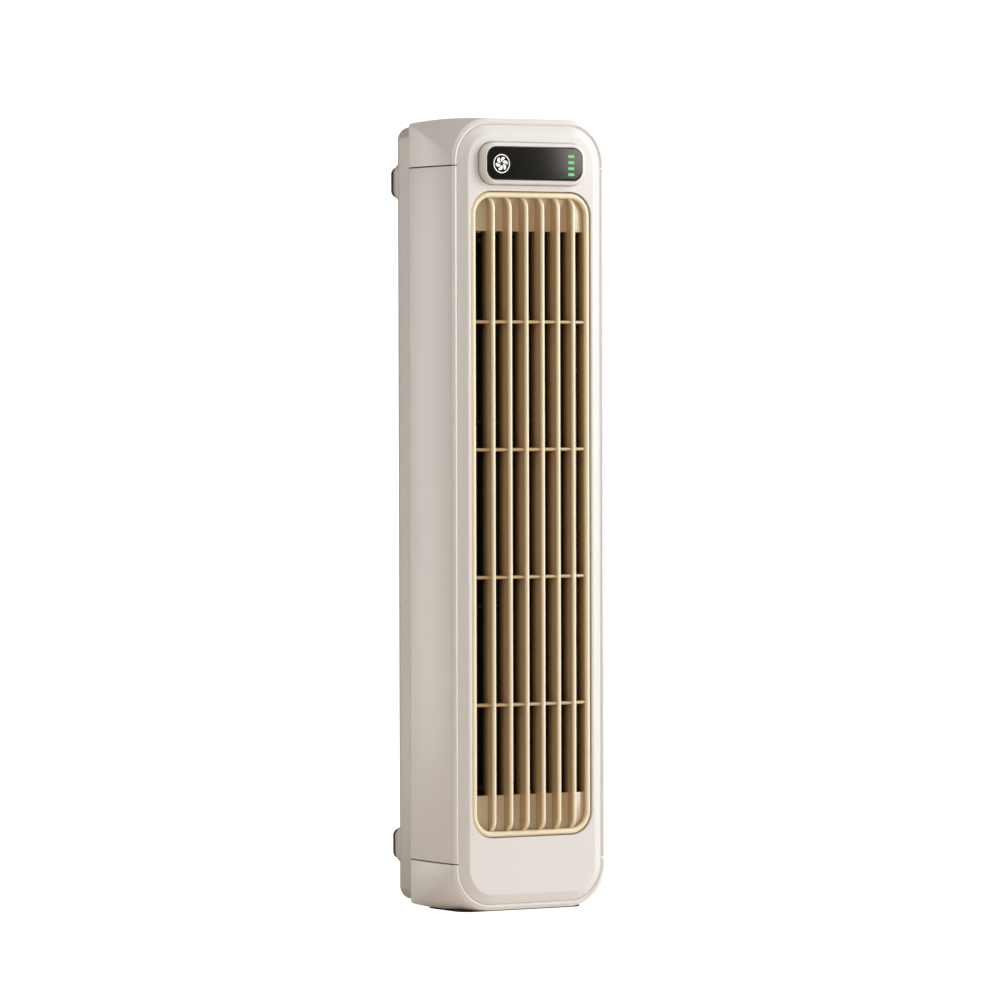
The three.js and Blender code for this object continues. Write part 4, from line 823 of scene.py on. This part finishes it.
bead_turn = np.linspace(0, np.pi, 15)
bead = np.column_stack([BEAD_WIDTH / 2 * (1 - np.cos(bead_turn)),
                        GRILLE_Y + BEAD_WIDTH / 2 * (1 - np.sin(bead_turn))])
flange_y = PANEL_Y + WALL + GAP
flange_back_y = flange_y + FLANGE_THICKNESS
frame_section = np.concatenate([bead, [
    (BEAD_WIDTH, GRILLE_BACK_Y), (0, GRILLE_BACK_Y), (0, flange_back_y),
    (-FLANGE, flange_back_y), (-FLANGE, flange_y), (0, flange_y)]])
shell = Shell()
shell.grid(inset_rings(frame_size, frame_section, turns=18), close_rows=True)
print("points in the frame's section:", len(frame_section))

# %% Fins
fin_half_width, fin_half_height = frame_size[0] - BEAD_WIDTH, frame_size[1] - BEAD_WIDTH
fin_pitch = (2 * fin_half_width + FIN_THICKNESS) / (FIN_COUNT + 1)


def bow(across):
    """Depth of the fins' front: the bead's front, less how proud it stands, plus x^2 / 2R."""
    return GRILLE_Y - FIN_PROUD + np.square(across) / (2 * FIN_BOW_RADIUS)


def fin_surface(middle_x):
    """Rows run down the fin, columns round its section: half a turn of nose with radius r at
    depth f(z), then two sides to the tail. f(z) = R - sqrt(R^2 - (R - d)^2) where the
    distance d to the nearer end is under R, and nought elsewhere."""
    reach = fin_half_height + ROOT
    near_end = FIN_END_RADIUS * (1 - np.cos(np.linspace(0, np.pi / 2, 13)))
    height = np.concatenate([-reach + near_end, reach - near_end[::-1]])
    left = np.clip(FIN_END_RADIUS - (reach - np.abs(height)), 0, FIN_END_RADIUS)
    back = FIN_END_RADIUS - np.sqrt(FIN_END_RADIUS ** 2 - left ** 2)
    turn = np.linspace(0, np.pi, 13)
    nose_radius = FIN_THICKNESS / 2
    across = np.concatenate([[FIN_TAIL / 2], nose_radius * np.cos(turn), [-FIN_TAIL / 2]])
    rows = np.empty((len(height), len(across), 3))
    rows[..., 0] = middle_x + across
    rows[:, 1:-1, 1] = bow(middle_x) + nose_radius * (1 - np.sin(turn)) + back[:, None]
    rows[:, [0, -1], 1] = GRILLE_BACK_Y
    rows[..., 2] = MIDDLE_Z + height[:, None]
    return rows


fin_places = (np.arange(FIN_COUNT) - (FIN_COUNT - 1) / 2) * fin_pitch
for place in fin_places:
    shell.bar(fin_surface(place))
print("fins at", fin_places.round(2))

# %% Ribs
fin_reach = fin_half_width + ROOT
rib_half = RIB_THICKNESS / 2
rib_turn = np.linspace(0, np.pi, 7)
rib_x = np.concatenate([[-fin_reach], np.linspace(fin_places[0], fin_places[-1], 31),
                        [fin_reach]])
rib_front = bow(rib_x) + RIB_SETBACK
rib_front[[0, -1]] = GRILLE_Y + RIB_SETBACK
rib_rise = np.concatenate([rib_half * np.cos(rib_turn), [-rib_half, rib_half]])
rib = np.empty((len(rib_x), len(rib_rise), 3))
rib[..., 0] = rib_x[:, None]
rib[:, :-2, 1] = rib_front[:, None] + rib_half * (1 - np.sin(rib_turn))
rib[:, -2:, 1] = GRILLE_BACK_Y - RIB_TAIL
rib_places = (np.arange(RIB_COUNT) - (RIB_COUNT - 1) / 2) * RIB_PITCH
for place in rib_places:
    rib[..., 2] = MIDDLE_Z + GRILLE_RISE + place + rib_rise
    shell.bar(rib)
print("ribs at", rib_places)


# %% Closed ends
def blank_end(side, inset, depth):
    """Outline of one closed end: a straight edge along the open part, and the bead's two
    round inner corners at the far side."""
    radius = frame_size[2] - BEAD_WIDTH + ROOT - inset
    half_width = fin_reach - inset
    far = fin_half_height + ROOT - inset
    near = fin_half_height - BLANK_HEIGHT + side * GRILLE_RISE + inset
    turn = np.linspace(0, np.pi / 2, 9)
    corner_x = half_width - radius + radius * np.cos(turn)
    corner_z = far - radius + radius * np.sin(turn)
    across = np.concatenate([[half_width], corner_x, -corner_x[::-1], [-half_width]])
    height = np.concatenate([[near], corner_z, corner_z[::-1], [near]])
    return upright(np.column_stack([across, MIDDLE_Z + side * height]), depth)


blank_y = GRILLE_Y + BLANK_SETBACK
blank_edge = ((0.3, 0), (0.09, 0.09), (0, 0.3), (0, BLANK_THICKNESS))
for side in (-1, 1):
    shell.bar(np.stack([blank_end(side, inset, blank_y + sink) for inset, sink in blank_edge]))
grille = shell.piece("champagne_grille", "case", "grille", ["outlet_grille"])

# %% Painted shade on the ribs
points = np.empty(len(grille.data.vertices) * 3)
grille.data.vertices.foreach_get("co", points)
across, _, height = points.reshape(-1, 3).T / MM
nearest_rib = np.abs(height[:, None] - MIDDLE_Z - GRILLE_RISE - rib_places).min(axis=1)
on_rib = (nearest_rib < RIB_THICKNESS) & (np.abs(across) < fin_reach + 0.01)
# Each point on a rib carries a share of painted shade, for the shade of the fins round it.
painted_rib_shade = grille.data.attributes.new("painted_rib_shade", "FLOAT", "POINT")
painted_rib_shade.data.foreach_set("value", np.where(on_rib, RIB_SHADE, 0.0))
print("points on the ribs:", on_rib.sum())


# %% [markdown]
# ## The display
#
# A raised rim shaped like a pill holds a dark glossy window. It stands in an opening a little
# wider than itself, so that a thin shadow follows its ends. Its outer side rises steeply and
# rolls over to the bright inner edge. The window is a slab with a polished round edge. White
# print under it shows a fan sign for the touch key, and four green lamps shine through at
# the right: both are thin skins, level with the face of the window.

# %% Display rim
BEZEL_Y, BEZEL_BACK_Y = span("display_bezel", Y)
WINDOW_Y, WINDOW_BACK_Y = span("display_window", Y)
RIM_LEDGE = 1
RIM_SUNK = 1.4
display_size = DISPLAY_HALF_WIDTH, DISPLAY_HALF_HEIGHT, DISPLAY_CORNER
bezel_foot_y = PANEL_Y + RIM_SUNK
wall_top_y = BEZEL_Y + 0.7
hollow_y = BEZEL_Y + 0.4
ledge_y = WINDOW_BACK_Y + GAP
rim_section = np.concatenate([
    [(-BEZEL_SKIRT, bezel_foot_y)],
    softened((-BEZEL_SKIRT, PANEL_Y - 0.1), (-0.85 * BEZEL_SKIRT, wall_top_y + 0.7),
             (-0.55 * BEZEL_SKIRT, wall_top_y), steps=4),
    softened((-0.52 * BEZEL_SKIRT, wall_top_y - 0.08), (-0.4 * BEZEL_SKIRT, hollow_y + 0.05),
             (-0.1, hollow_y), steps=4),
    softened((0.05, hollow_y), (0.28, hollow_y - 0.02), (0.34, BEZEL_Y + 0.16), steps=3),
    softened((0.36, BEZEL_Y + 0.12), (0.4, BEZEL_Y), (0.52, BEZEL_Y), steps=3),
    softened((0.66, BEZEL_Y), (RIM_WIDTH, BEZEL_Y), (RIM_WIDTH, BEZEL_Y + 0.24), steps=4),
    [(RIM_WIDTH, ledge_y), (RIM_WIDTH + RIM_LEDGE, ledge_y),
     (RIM_WIDTH + RIM_LEDGE, BEZEL_BACK_Y), (0, BEZEL_BACK_Y), (0, bezel_foot_y)]])
shell = Shell()
shell.grid(inset_rings(display_size, rim_section, turns=16, middle=DISPLAY_MIDDLE),
           close_rows=True)
shell.piece("display_rim", "case", "case", ["display_bezel"])

# %% Window
WINDOW_ROUND = 0.25
WINDOW_LAND = 0.6
inward, under = quarter(4)
window_edge = np.concatenate([
    [(WINDOW_INSET + WINDOW_LAND, WINDOW_Y)],
    np.column_stack([WINDOW_INSET + WINDOW_ROUND * under, WINDOW_Y + WINDOW_ROUND * inward]),
    [(WINDOW_INSET, WINDOW_BACK_Y)]])
shell = Shell()
shell.bar(inset_rings(display_size, window_edge, turns=16, middle=DISPLAY_MIDDLE))
shell.piece("dark_window", "case", "window", ["display_window"])

# %% Fan sign
SIGN_RADIUS = 3.95
SIGN_RING = 0.4
SIGN_INDENT, SIGN_DROP = 8.1, 0.2
SIGN_MIDDLE = (-DISPLAY_HALF_WIDTH + SIGN_INDENT, DISPLAY_MIDDLE[1] - SIGN_DROP)
SIGN_HUB, SIGN_BLADE = 0.17, 0.56
BLADES = 6
BLADE_HALF_ANGLE, BLADE_TWIST, FIRST_BLADE = 23, 34, 100
PRINT_DEPTH = 0.03
print_faces = WINDOW_Y - PRINT_DEPTH, WINDOW_Y + PRINT_DEPTH


def thin_skin(shell, flat):
    """A grid of (x, z) points as a closed skin that stands a hair proud of the window."""
    sides = [upright(flat, depth) for depth in print_faces]
    for side in sides:
        shell.grid(side, close_columns=False)
    shell.grid(np.stack([np.concatenate([side[0], side[1:, -1], side[-1, -2::-1],
                                         side[-2:0:-1, 0]]) for side in sides]))


def sign_blade(start):
    """Radius grows from hub to rim. The blade's middle turns on with the radius, and its
    half angle swells as sin^0.6 between the two ends."""
    share = np.linspace(0, 1, 15)[:, None]
    across = np.linspace(-1, 1, 9)[None, :]
    radius = SIGN_RADIUS * (SIGN_HUB + SIGN_BLADE * share)
    half_angle = np.radians(BLADE_HALF_ANGLE) * np.sin(np.pi * (0.06 + 0.88 * share)) ** 0.6
    angle = np.radians(start) - np.radians(BLADE_TWIST) * share + half_angle * across
    return np.stack([SIGN_MIDDLE[0] + radius * np.cos(angle),
                     SIGN_MIDDLE[1] + radius * np.sin(angle)], axis=-1)


front_y, behind_y = print_faces
ring_section = [(SIGN_RADIUS, front_y), (SIGN_RADIUS - SIGN_RING, front_y),
                (SIGN_RADIUS - SIGN_RING, behind_y), (SIGN_RADIUS, behind_y)]
shell = Shell()
shell.grid(turned(ring_section, SIGN_MIDDLE, sides=72), close_rows=True)
for blade in range(BLADES):
    thin_skin(shell, sign_blade(360 * blade / BLADES + FIRST_BLADE))
shell.piece("fan_sign", "case", "print", crease=30)

# %% Lamps
LAMP_SIZE = 2.95 / 2, 1.15 / 2, 0.35
for number in (1, 2, 3, 4):
    lamp_middle = centre("light_guide", X), centre(f"led_{number}", Z)
    shell = Shell()
    shell.bar(inset_rings(LAMP_SIZE, [(0, depth) for depth in print_faces], turns=5,
                          middle=lamp_middle))
    shell.piece(f"lamp_window_{number}", "case", "lamp")


# %% [markdown]
# ## The rear cover
#
# A deep tray with rounded rear edges. Four rows of eight intake slots cross the back, an
# inlet for the charging plug sits at its foot, and four tapering bosses stand near its
# corners. The tray is a row of rounded outlines; its flat back is filled round the slots.

# %% Rear cover
REAR_CORNERS, REAR_SHARPEST = 5.5, 1.0
REAR_FILLET = 4.5
SLOT_COLUMNS, SLOT_ROWS = 8, 4
SLOT_WIDTH, SLOT_LENGTH = 3.8, 51.0
SLOT_PITCH, SLOT_ROW_PITCH = 6.4, 56.0
SLOT_ROUND = 0.35
SOCKET_MIDDLE = (0.0, centre("charging_socket", Z))
INLET_SIZE = 4.45 + GAP, 1.6 + GAP, 1.6
WELL_RADIUS = 3.1
FOOT_HALF, FOOT_CORNER = 8.75, 4.5
PAD_HALF, PAD_CORNER = 6.5, 3.2
SUNK, FOOT_SUNK = 1.0, 0.8


def slot_rings(middle, profile):
    """Two half circles of radius w joined by straight sides, w less each row's inset."""
    angle = np.radians(np.concatenate([np.linspace(0, 180, 9), np.linspace(180, 360, 9)]))
    radius = SLOT_WIDTH / 2 - profile[:, :1]
    up = np.repeat([1, -1], 9) * (SLOT_LENGTH - SLOT_WIDTH) / 2
    return upright(np.stack([middle[0] + radius * np.cos(angle),
                             middle[1] + up + radius * np.sin(angle)], axis=-1), profile[:, 1])


def square_rings(profile, middle):
    """Rounded squares about a middle, from columns half side, corner radius and depth."""
    half, corner, depth = np.asarray(profile, float).T
    return upright(outline(half, half, corner, turns=12, middle=middle), depth)


rear_size = span("rear_cover", X)[1], span("rear_cover", Z)[1] - MIDDLE_Z, REAR_CORNERS
inward, under = quarter(9)
inner_inward, inner_under = quarter(6)
inner_fillet = REAR_FILLET - WALL
tray = np.concatenate([
    [(REAR_FILLET + LAND, BACK_Y)],
    np.column_stack([REAR_FILLET * inward, BACK_Y - REAR_FILLET * under])[::-1],
    [(0, BAND_REAR_Y + GAP), (WALL, BAND_REAR_Y + GAP)],
    np.column_stack([WALL + inner_fillet * inner_inward,
                     BACK_INNER_Y - inner_fillet * inner_under])])
slot_edge = edge_profile(SLOT_ROUND, BACK_Y, inwards=-1)
edges = [inset_rings(rear_size, tray, sharpest=REAR_SHARPEST)]
for row in range(SLOT_ROWS):
    for column in range(SLOT_COLUMNS):
        middle = ((column - (SLOT_COLUMNS - 1) / 2) * SLOT_PITCH,
                  MIDDLE_Z + (row - (SLOT_ROWS - 1) / 2) * SLOT_ROW_PITCH)
        edges.append(slot_rings(middle, slot_edge))
edges.append(inset_rings(INLET_SIZE, slot_edge, turns=6, middle=SOCKET_MIDDLE))
edges += [turned([(WELL_RADIUS, BACK_Y), (BORE_RADIUS, BACK_Y), (BORE_RADIUS, BACK_INNER_Y)],
                 middle) for middle in PAD_MIDDLES]
shell = Shell()
shell.pierced(edges)
boss_top = BACK_Y + PAD_BOSS_HEIGHT
boss_foot_y = BACK_Y - REAR_FILLET + FOOT_SUNK
boss_profile = np.concatenate([
    [(WELL_RADIUS, WELL_RADIUS, BACK_Y - SUNK), (WELL_RADIUS, WELL_RADIUS, boss_top)],
    softened((PAD_HALF - 0.5, PAD_CORNER - 0.3, boss_top), (PAD_HALF, PAD_CORNER, boss_top),
             (PAD_HALF + 0.22, PAD_CORNER + 0.13, boss_top - 0.5), steps=4),
    softened((FOOT_HALF - 0.65, FOOT_CORNER - 0.4, BACK_Y + 1.5), (FOOT_HALF, FOOT_CORNER, BACK_Y),
             (FOOT_HALF, FOOT_CORNER, BACK_Y - 1.4), steps=5),
    [(FOOT_HALF, FOOT_CORNER, boss_foot_y), (FOOT_HALF - WALL, FOOT_CORNER - WALL, boss_foot_y),
     (FOOT_HALF - WALL, FOOT_CORNER - WALL, BACK_Y - SUNK)]])
for middle in PAD_MIDDLES:
    shell.grid(square_rings(boss_profile, middle), close_rows=True)
shell.piece("rear_tray", "case", "case", ["rear_cover"])

# %% Rubber pads
PLUG_RADIUS, PLUG_LENGTH = 2.8, 1.8
DISH = 0.25
pad_face_y = span("rear_pad_1", Y)[1]
pad_seat_y = boss_top + GAP
plug_y = pad_seat_y - PLUG_LENGTH
pad_profile = np.concatenate([
    [(0, 0, plug_y), (PLUG_RADIUS, PLUG_RADIUS, plug_y), (PLUG_RADIUS, PLUG_RADIUS, pad_seat_y),
     (PAD_HALF - 0.2, PAD_CORNER - 0.2, pad_seat_y), (PAD_HALF, PAD_CORNER, pad_seat_y + 0.2)],
    softened((PAD_HALF, PAD_CORNER, pad_face_y - 0.8), (PAD_HALF, PAD_CORNER, pad_face_y),
             (PAD_HALF - 0.8, PAD_CORNER - 0.8, pad_face_y), steps=6),
    [(PAD_HALF - 1.4, PAD_CORNER - 1.2, pad_face_y),
     (PAD_HALF - 1.6, PAD_CORNER - 1.4, pad_face_y - DISH), (0, 0, pad_face_y - DISH)]])
for number, middle in enumerate(PAD_MIDDLES, start=1):
    shell = Shell()
    shell.grid(square_rings(pad_profile, middle))
    shell.piece(f"wall_pad_{number}", "case", "dark_rubber", [f"rear_pad_{number}"])


# %% [markdown]
# ## The foot
#
# A thin rubber pad lies in a shallow recess under the bottom cap, so that the fan stands
# on rubber and not on its hard shell. It is a flat slab with a rounded outline. Its lower
# edge has a small round, and a shallow groove runs round its underside so that it grips.

# %% Foot pad
SOLE_EDGE = 0.3
SOLE_CORNER, SHARPEST = 6.0, 0.5
SOLE_FLAT = 6.0
GRIP_INSETS, GRIP_DEPTH = (3.2, 2.9, 1.9, 1.6), 0.35
TOP_BEVEL = 0.15
sole_half_width = span("base_pad", X)[1]
sole_front_y, sole_rear_y = span("base_pad", Y)
sole_top_z = span("base_pad", Z)[1]
inward, under = quarter(4)
sole_inset = np.concatenate([[SOLE_FLAT, *GRIP_INSETS, SOLE_EDGE + 0.2],
                             SOLE_EDGE * under[::-1], [0, TOP_BEVEL, SOLE_FLAT]])
sole_height = np.concatenate([[0, 0, GRIP_DEPTH, GRIP_DEPTH, 0, 0], SOLE_EDGE * inward[::-1],
                              [sole_top_z - TOP_BEVEL, sole_top_z, sole_top_z]])
sole = outline(sole_half_width - sole_inset, (sole_rear_y - sole_front_y) / 2 - sole_inset,
               np.maximum(SOLE_CORNER - sole_inset, SHARPEST), turns=10,
               middle=(0.0, centre("base_pad", Y)))
shell = Shell()
shell.bar(level(sole, sole_height))
shell.piece("foot_pad", "case", "dark_rubber", ["base_pad"])


# %% [markdown]
# ## The wheel
#
# A cross-flow wheel is a long cage of curved blades. Two discs close its ends, two open
# rings keep the thin blades from bending, and a hub at each end takes a shaft. It would be
# moulded in short lengths that are welded end to end. Each blade is a curved section of
# changing thickness, carried from disc to disc.

# %% Wheel
WHEEL_X, WHEEL_Y = centre("impeller", X), centre("impeller", Y)
WHEEL_LOW, WHEEL_HIGH = span("impeller", Z)
WHEEL_RADIUS = (span("impeller", X)[1] - span("impeller", X)[0]) / 2
WHEEL_EDGE = 0.3
BLADE_COUNT = 16
BLADE_DEPTH = 5.6
BLADE_THICKNESS = 0.9
BLADE_EDGE = 0.55
BLADE_SWEEP = 24.0
BLADE_BELLY = 2.0
RING_COUNT = 2
RING_THICKNESS = 1.2
RING_LAND = 0.4
DISC_THICKNESS = 2.0
HUB_DEPTH, HUB_FLOOR = 6.0, 2
LOWER_BORE, LOWER_HUB = 5.3, 6.8
UPPER_BORE, UPPER_HUB = 2.3, 5.0


def about_wheel(radius, degrees):
    """Point (cx + r cos a, cy + r sin a) beside the wheel's axis."""
    angle = np.radians(degrees)
    return np.stack(np.broadcast_arrays(WHEEL_X + radius * np.cos(angle),
                                        WHEEL_Y + radius * np.sin(angle)), axis=-1)


def spun(profile, sides=96):
    """Points (cx + r cos a, cy + r sin a, z) of an (r, z) profile spun about the axis."""
    radius, height = np.asarray(profile, float).T
    return level(about_wheel(radius[:, None], np.linspace(0, 360, sides, endpoint=False)),
                 height)


def strip_section(middle_line, half_thickness):
    """Outline of a strip: the middle line moved half a thickness to one side, and back along
    the other, with a round nose of three points at each end."""
    along = np.gradient(middle_line, axis=0)
    along /= np.linalg.norm(along, axis=1, keepdims=True)
    across = np.stack([-along[:, 1], along[:, 0]], axis=1) * half_thickness[:, None]
    turn = np.radians([60, 90, 120])
    noses = [middle_line[end] + np.outer(np.sin(turn), sign * along[end] * half_thickness[end])
             + sign * np.outer(np.cos(turn), across[end]) for end, sign in ((-1, 1), (0, -1))]
    return np.concatenate([middle_line + across, noses[0], (middle_line - across)[::-1],
                           noses[1]])


def stood_up(shell, section, low, high):
    """Carries a level section from one height to another and closes both ends."""
    shell.bar(level(np.stack([section, section]), (low, high)))


def blade_section(start):
    """Quadratic curve from root to tip over a belly point. Its half thickness swells as a
    half sine wave between the thin edges."""
    tip_radius = WHEEL_RADIUS - RING_LAND
    ends = [about_wheel(tip_radius - BLADE_DEPTH, start),
            about_wheel(tip_radius - BLADE_BELLY, start + BLADE_SWEEP / 10),
            about_wheel(tip_radius, start + BLADE_SWEEP)]
    share = np.linspace(0, 1, 9)
    swell = BLADE_EDGE + (1 - BLADE_EDGE) * np.sin(np.pi * share)
    return strip_section(softened(*ends, steps=8), BLADE_THICKNESS / 2 * swell)


shell = Shell()
for start in np.arange(BLADE_COUNT) * 360 / BLADE_COUNT:
    stood_up(shell, blade_section(start), WHEEL_LOW + DISC_THICKNESS / 2,
             WHEEL_HIGH - DISC_THICKNESS / 2)
edge = WHEEL_EDGE
ring_inner = WHEEL_RADIUS - BLADE_DEPTH - 2 * RING_LAND
for number in range(1, RING_COUNT + 1):
    low = WHEEL_LOW + (WHEEL_HIGH - WHEEL_LOW) * number / (RING_COUNT + 1) - RING_THICKNESS / 2
    high = low + RING_THICKNESS
    ring = [(ring_inner, low + edge), (ring_inner + edge, low), (WHEEL_RADIUS - edge, low),
            (WHEEL_RADIUS, low + edge), (WHEEL_RADIUS, high - edge), (WHEEL_RADIUS - edge, high),
            (ring_inner + edge, high), (ring_inner, high - edge)]
    shell.grid(spun(ring), close_rows=True)
for end, inwards, bore, hub in ((WHEEL_LOW, 1, LOWER_BORE, LOWER_HUB),
                                (WHEEL_HIGH, -1, UPPER_BORE, UPPER_HUB)):
    floor, seat, top = (end + inwards * far for far in (DISC_THICKNESS, HUB_DEPTH,
                                                        HUB_DEPTH + HUB_FLOOR))
    shell.grid(spun([(0, seat), (bore, seat), (bore, end), (WHEEL_RADIUS - edge, end),
                     (WHEEL_RADIUS, end + inwards * edge),
                     (WHEEL_RADIUS, floor - inwards * edge), (WHEEL_RADIUS - edge, floor),
                     (hub, floor), (hub, top), (0, top)]))
shell.piece("cross_flow_wheel", "wheel", "wheel", ["impeller"])

# %% [markdown]
# ## The duct walls
#
# The air has to leave to the front and nowhere else. Behind the wheel a spiral wall opens
# steadily towards the outlet's right edge. At the left a short curved tongue keeps the air
# from going round again. Both are strips of sheet, bent to a line that runs close to the
# wheel, and as tall as the duct.

# %% Spiral guide and tongue
GUIDE_THICKNESS = 1.5
GUIDE_CLEARANCE = 2.0
GUIDE_OPENING = 10.0
GUIDE_START, GUIDE_END = 75.0, -38.0
TONGUE_ANGLE = 205.0
TONGUE_RISE = 9.0
TONGUE_BEND = 2.0
duct_low, duct_high = span("rear_guide", Z)
strip_y = span("tongue_plate", Y)[0] + GUIDE_THICKNESS / 2
nearest = WHEEL_RADIUS + GUIDE_CLEARANCE + GUIDE_THICKNESS / 2
share = np.linspace(0, 1, 41)
spiral = about_wheel(nearest + GUIDE_OPENING * share ** 1.3,
                     GUIDE_START + (GUIDE_END - GUIDE_START) * share)
spiral = np.concatenate([spiral, [(fin_half_width, strip_y)]])
nose = about_wheel(nearest, TONGUE_ANGLE)
tongue_start = (-fin_half_width, strip_y)
tongue_end = (span("tongue_plate", X)[0] + GUIDE_THICKNESS / 2, nose[1] + TONGUE_RISE)
tongue = np.concatenate([
    softened(tongue_start, (tongue_start[0] + TONGUE_BEND, nose[1] - TONGUE_BEND), nose, 16),
    softened(nose, (nose[0] - TONGUE_BEND / 2, tongue_end[1]), tongue_end, 16)[1:]])
for name, line, node in (("spiral_guide", spiral, "rear_guide"),
                         ("duct_tongue", tongue, "tongue_plate")):
    shell = Shell()
    stood_up(shell, strip_section(line, np.full(len(line), GUIDE_THICKNESS / 2)), duct_low,
             duct_high)
    shell.piece(name, "case", "wheel", [node])


# %% [markdown]
# ## The charging socket
#
# A drawn steel shell in the shape of a flat pill, open to the back. Its mouth is rolled over
# into a small round, which catches the light at the inlet.

# %% Charging socket
SOCKET_WALL = 0.35
socket_front_y, socket_rear_y = span("charging_socket", Y)
socket_half_height = (span("charging_socket", Z)[1] - span("charging_socket", Z)[0]) / 2
socket_size = span("charging_socket", X)[1], socket_half_height, socket_half_height - 0.1
mouth_turn = np.linspace(0, np.pi, 9)
socket_section = np.concatenate([
    [(0, socket_front_y)],
    np.column_stack([SOCKET_WALL / 2 * (1 - np.cos(mouth_turn)),
                     socket_rear_y - SOCKET_WALL / 2 * (1 - np.sin(mouth_turn))]),
    [(SOCKET_WALL, socket_front_y)]])
shell = Shell()
shell.grid(inset_rings(socket_size, socket_section, turns=8, middle=SOCKET_MIDDLE),
           close_rows=True)
shell.piece("socket_shell", "case", "steel", ["charging_socket"])
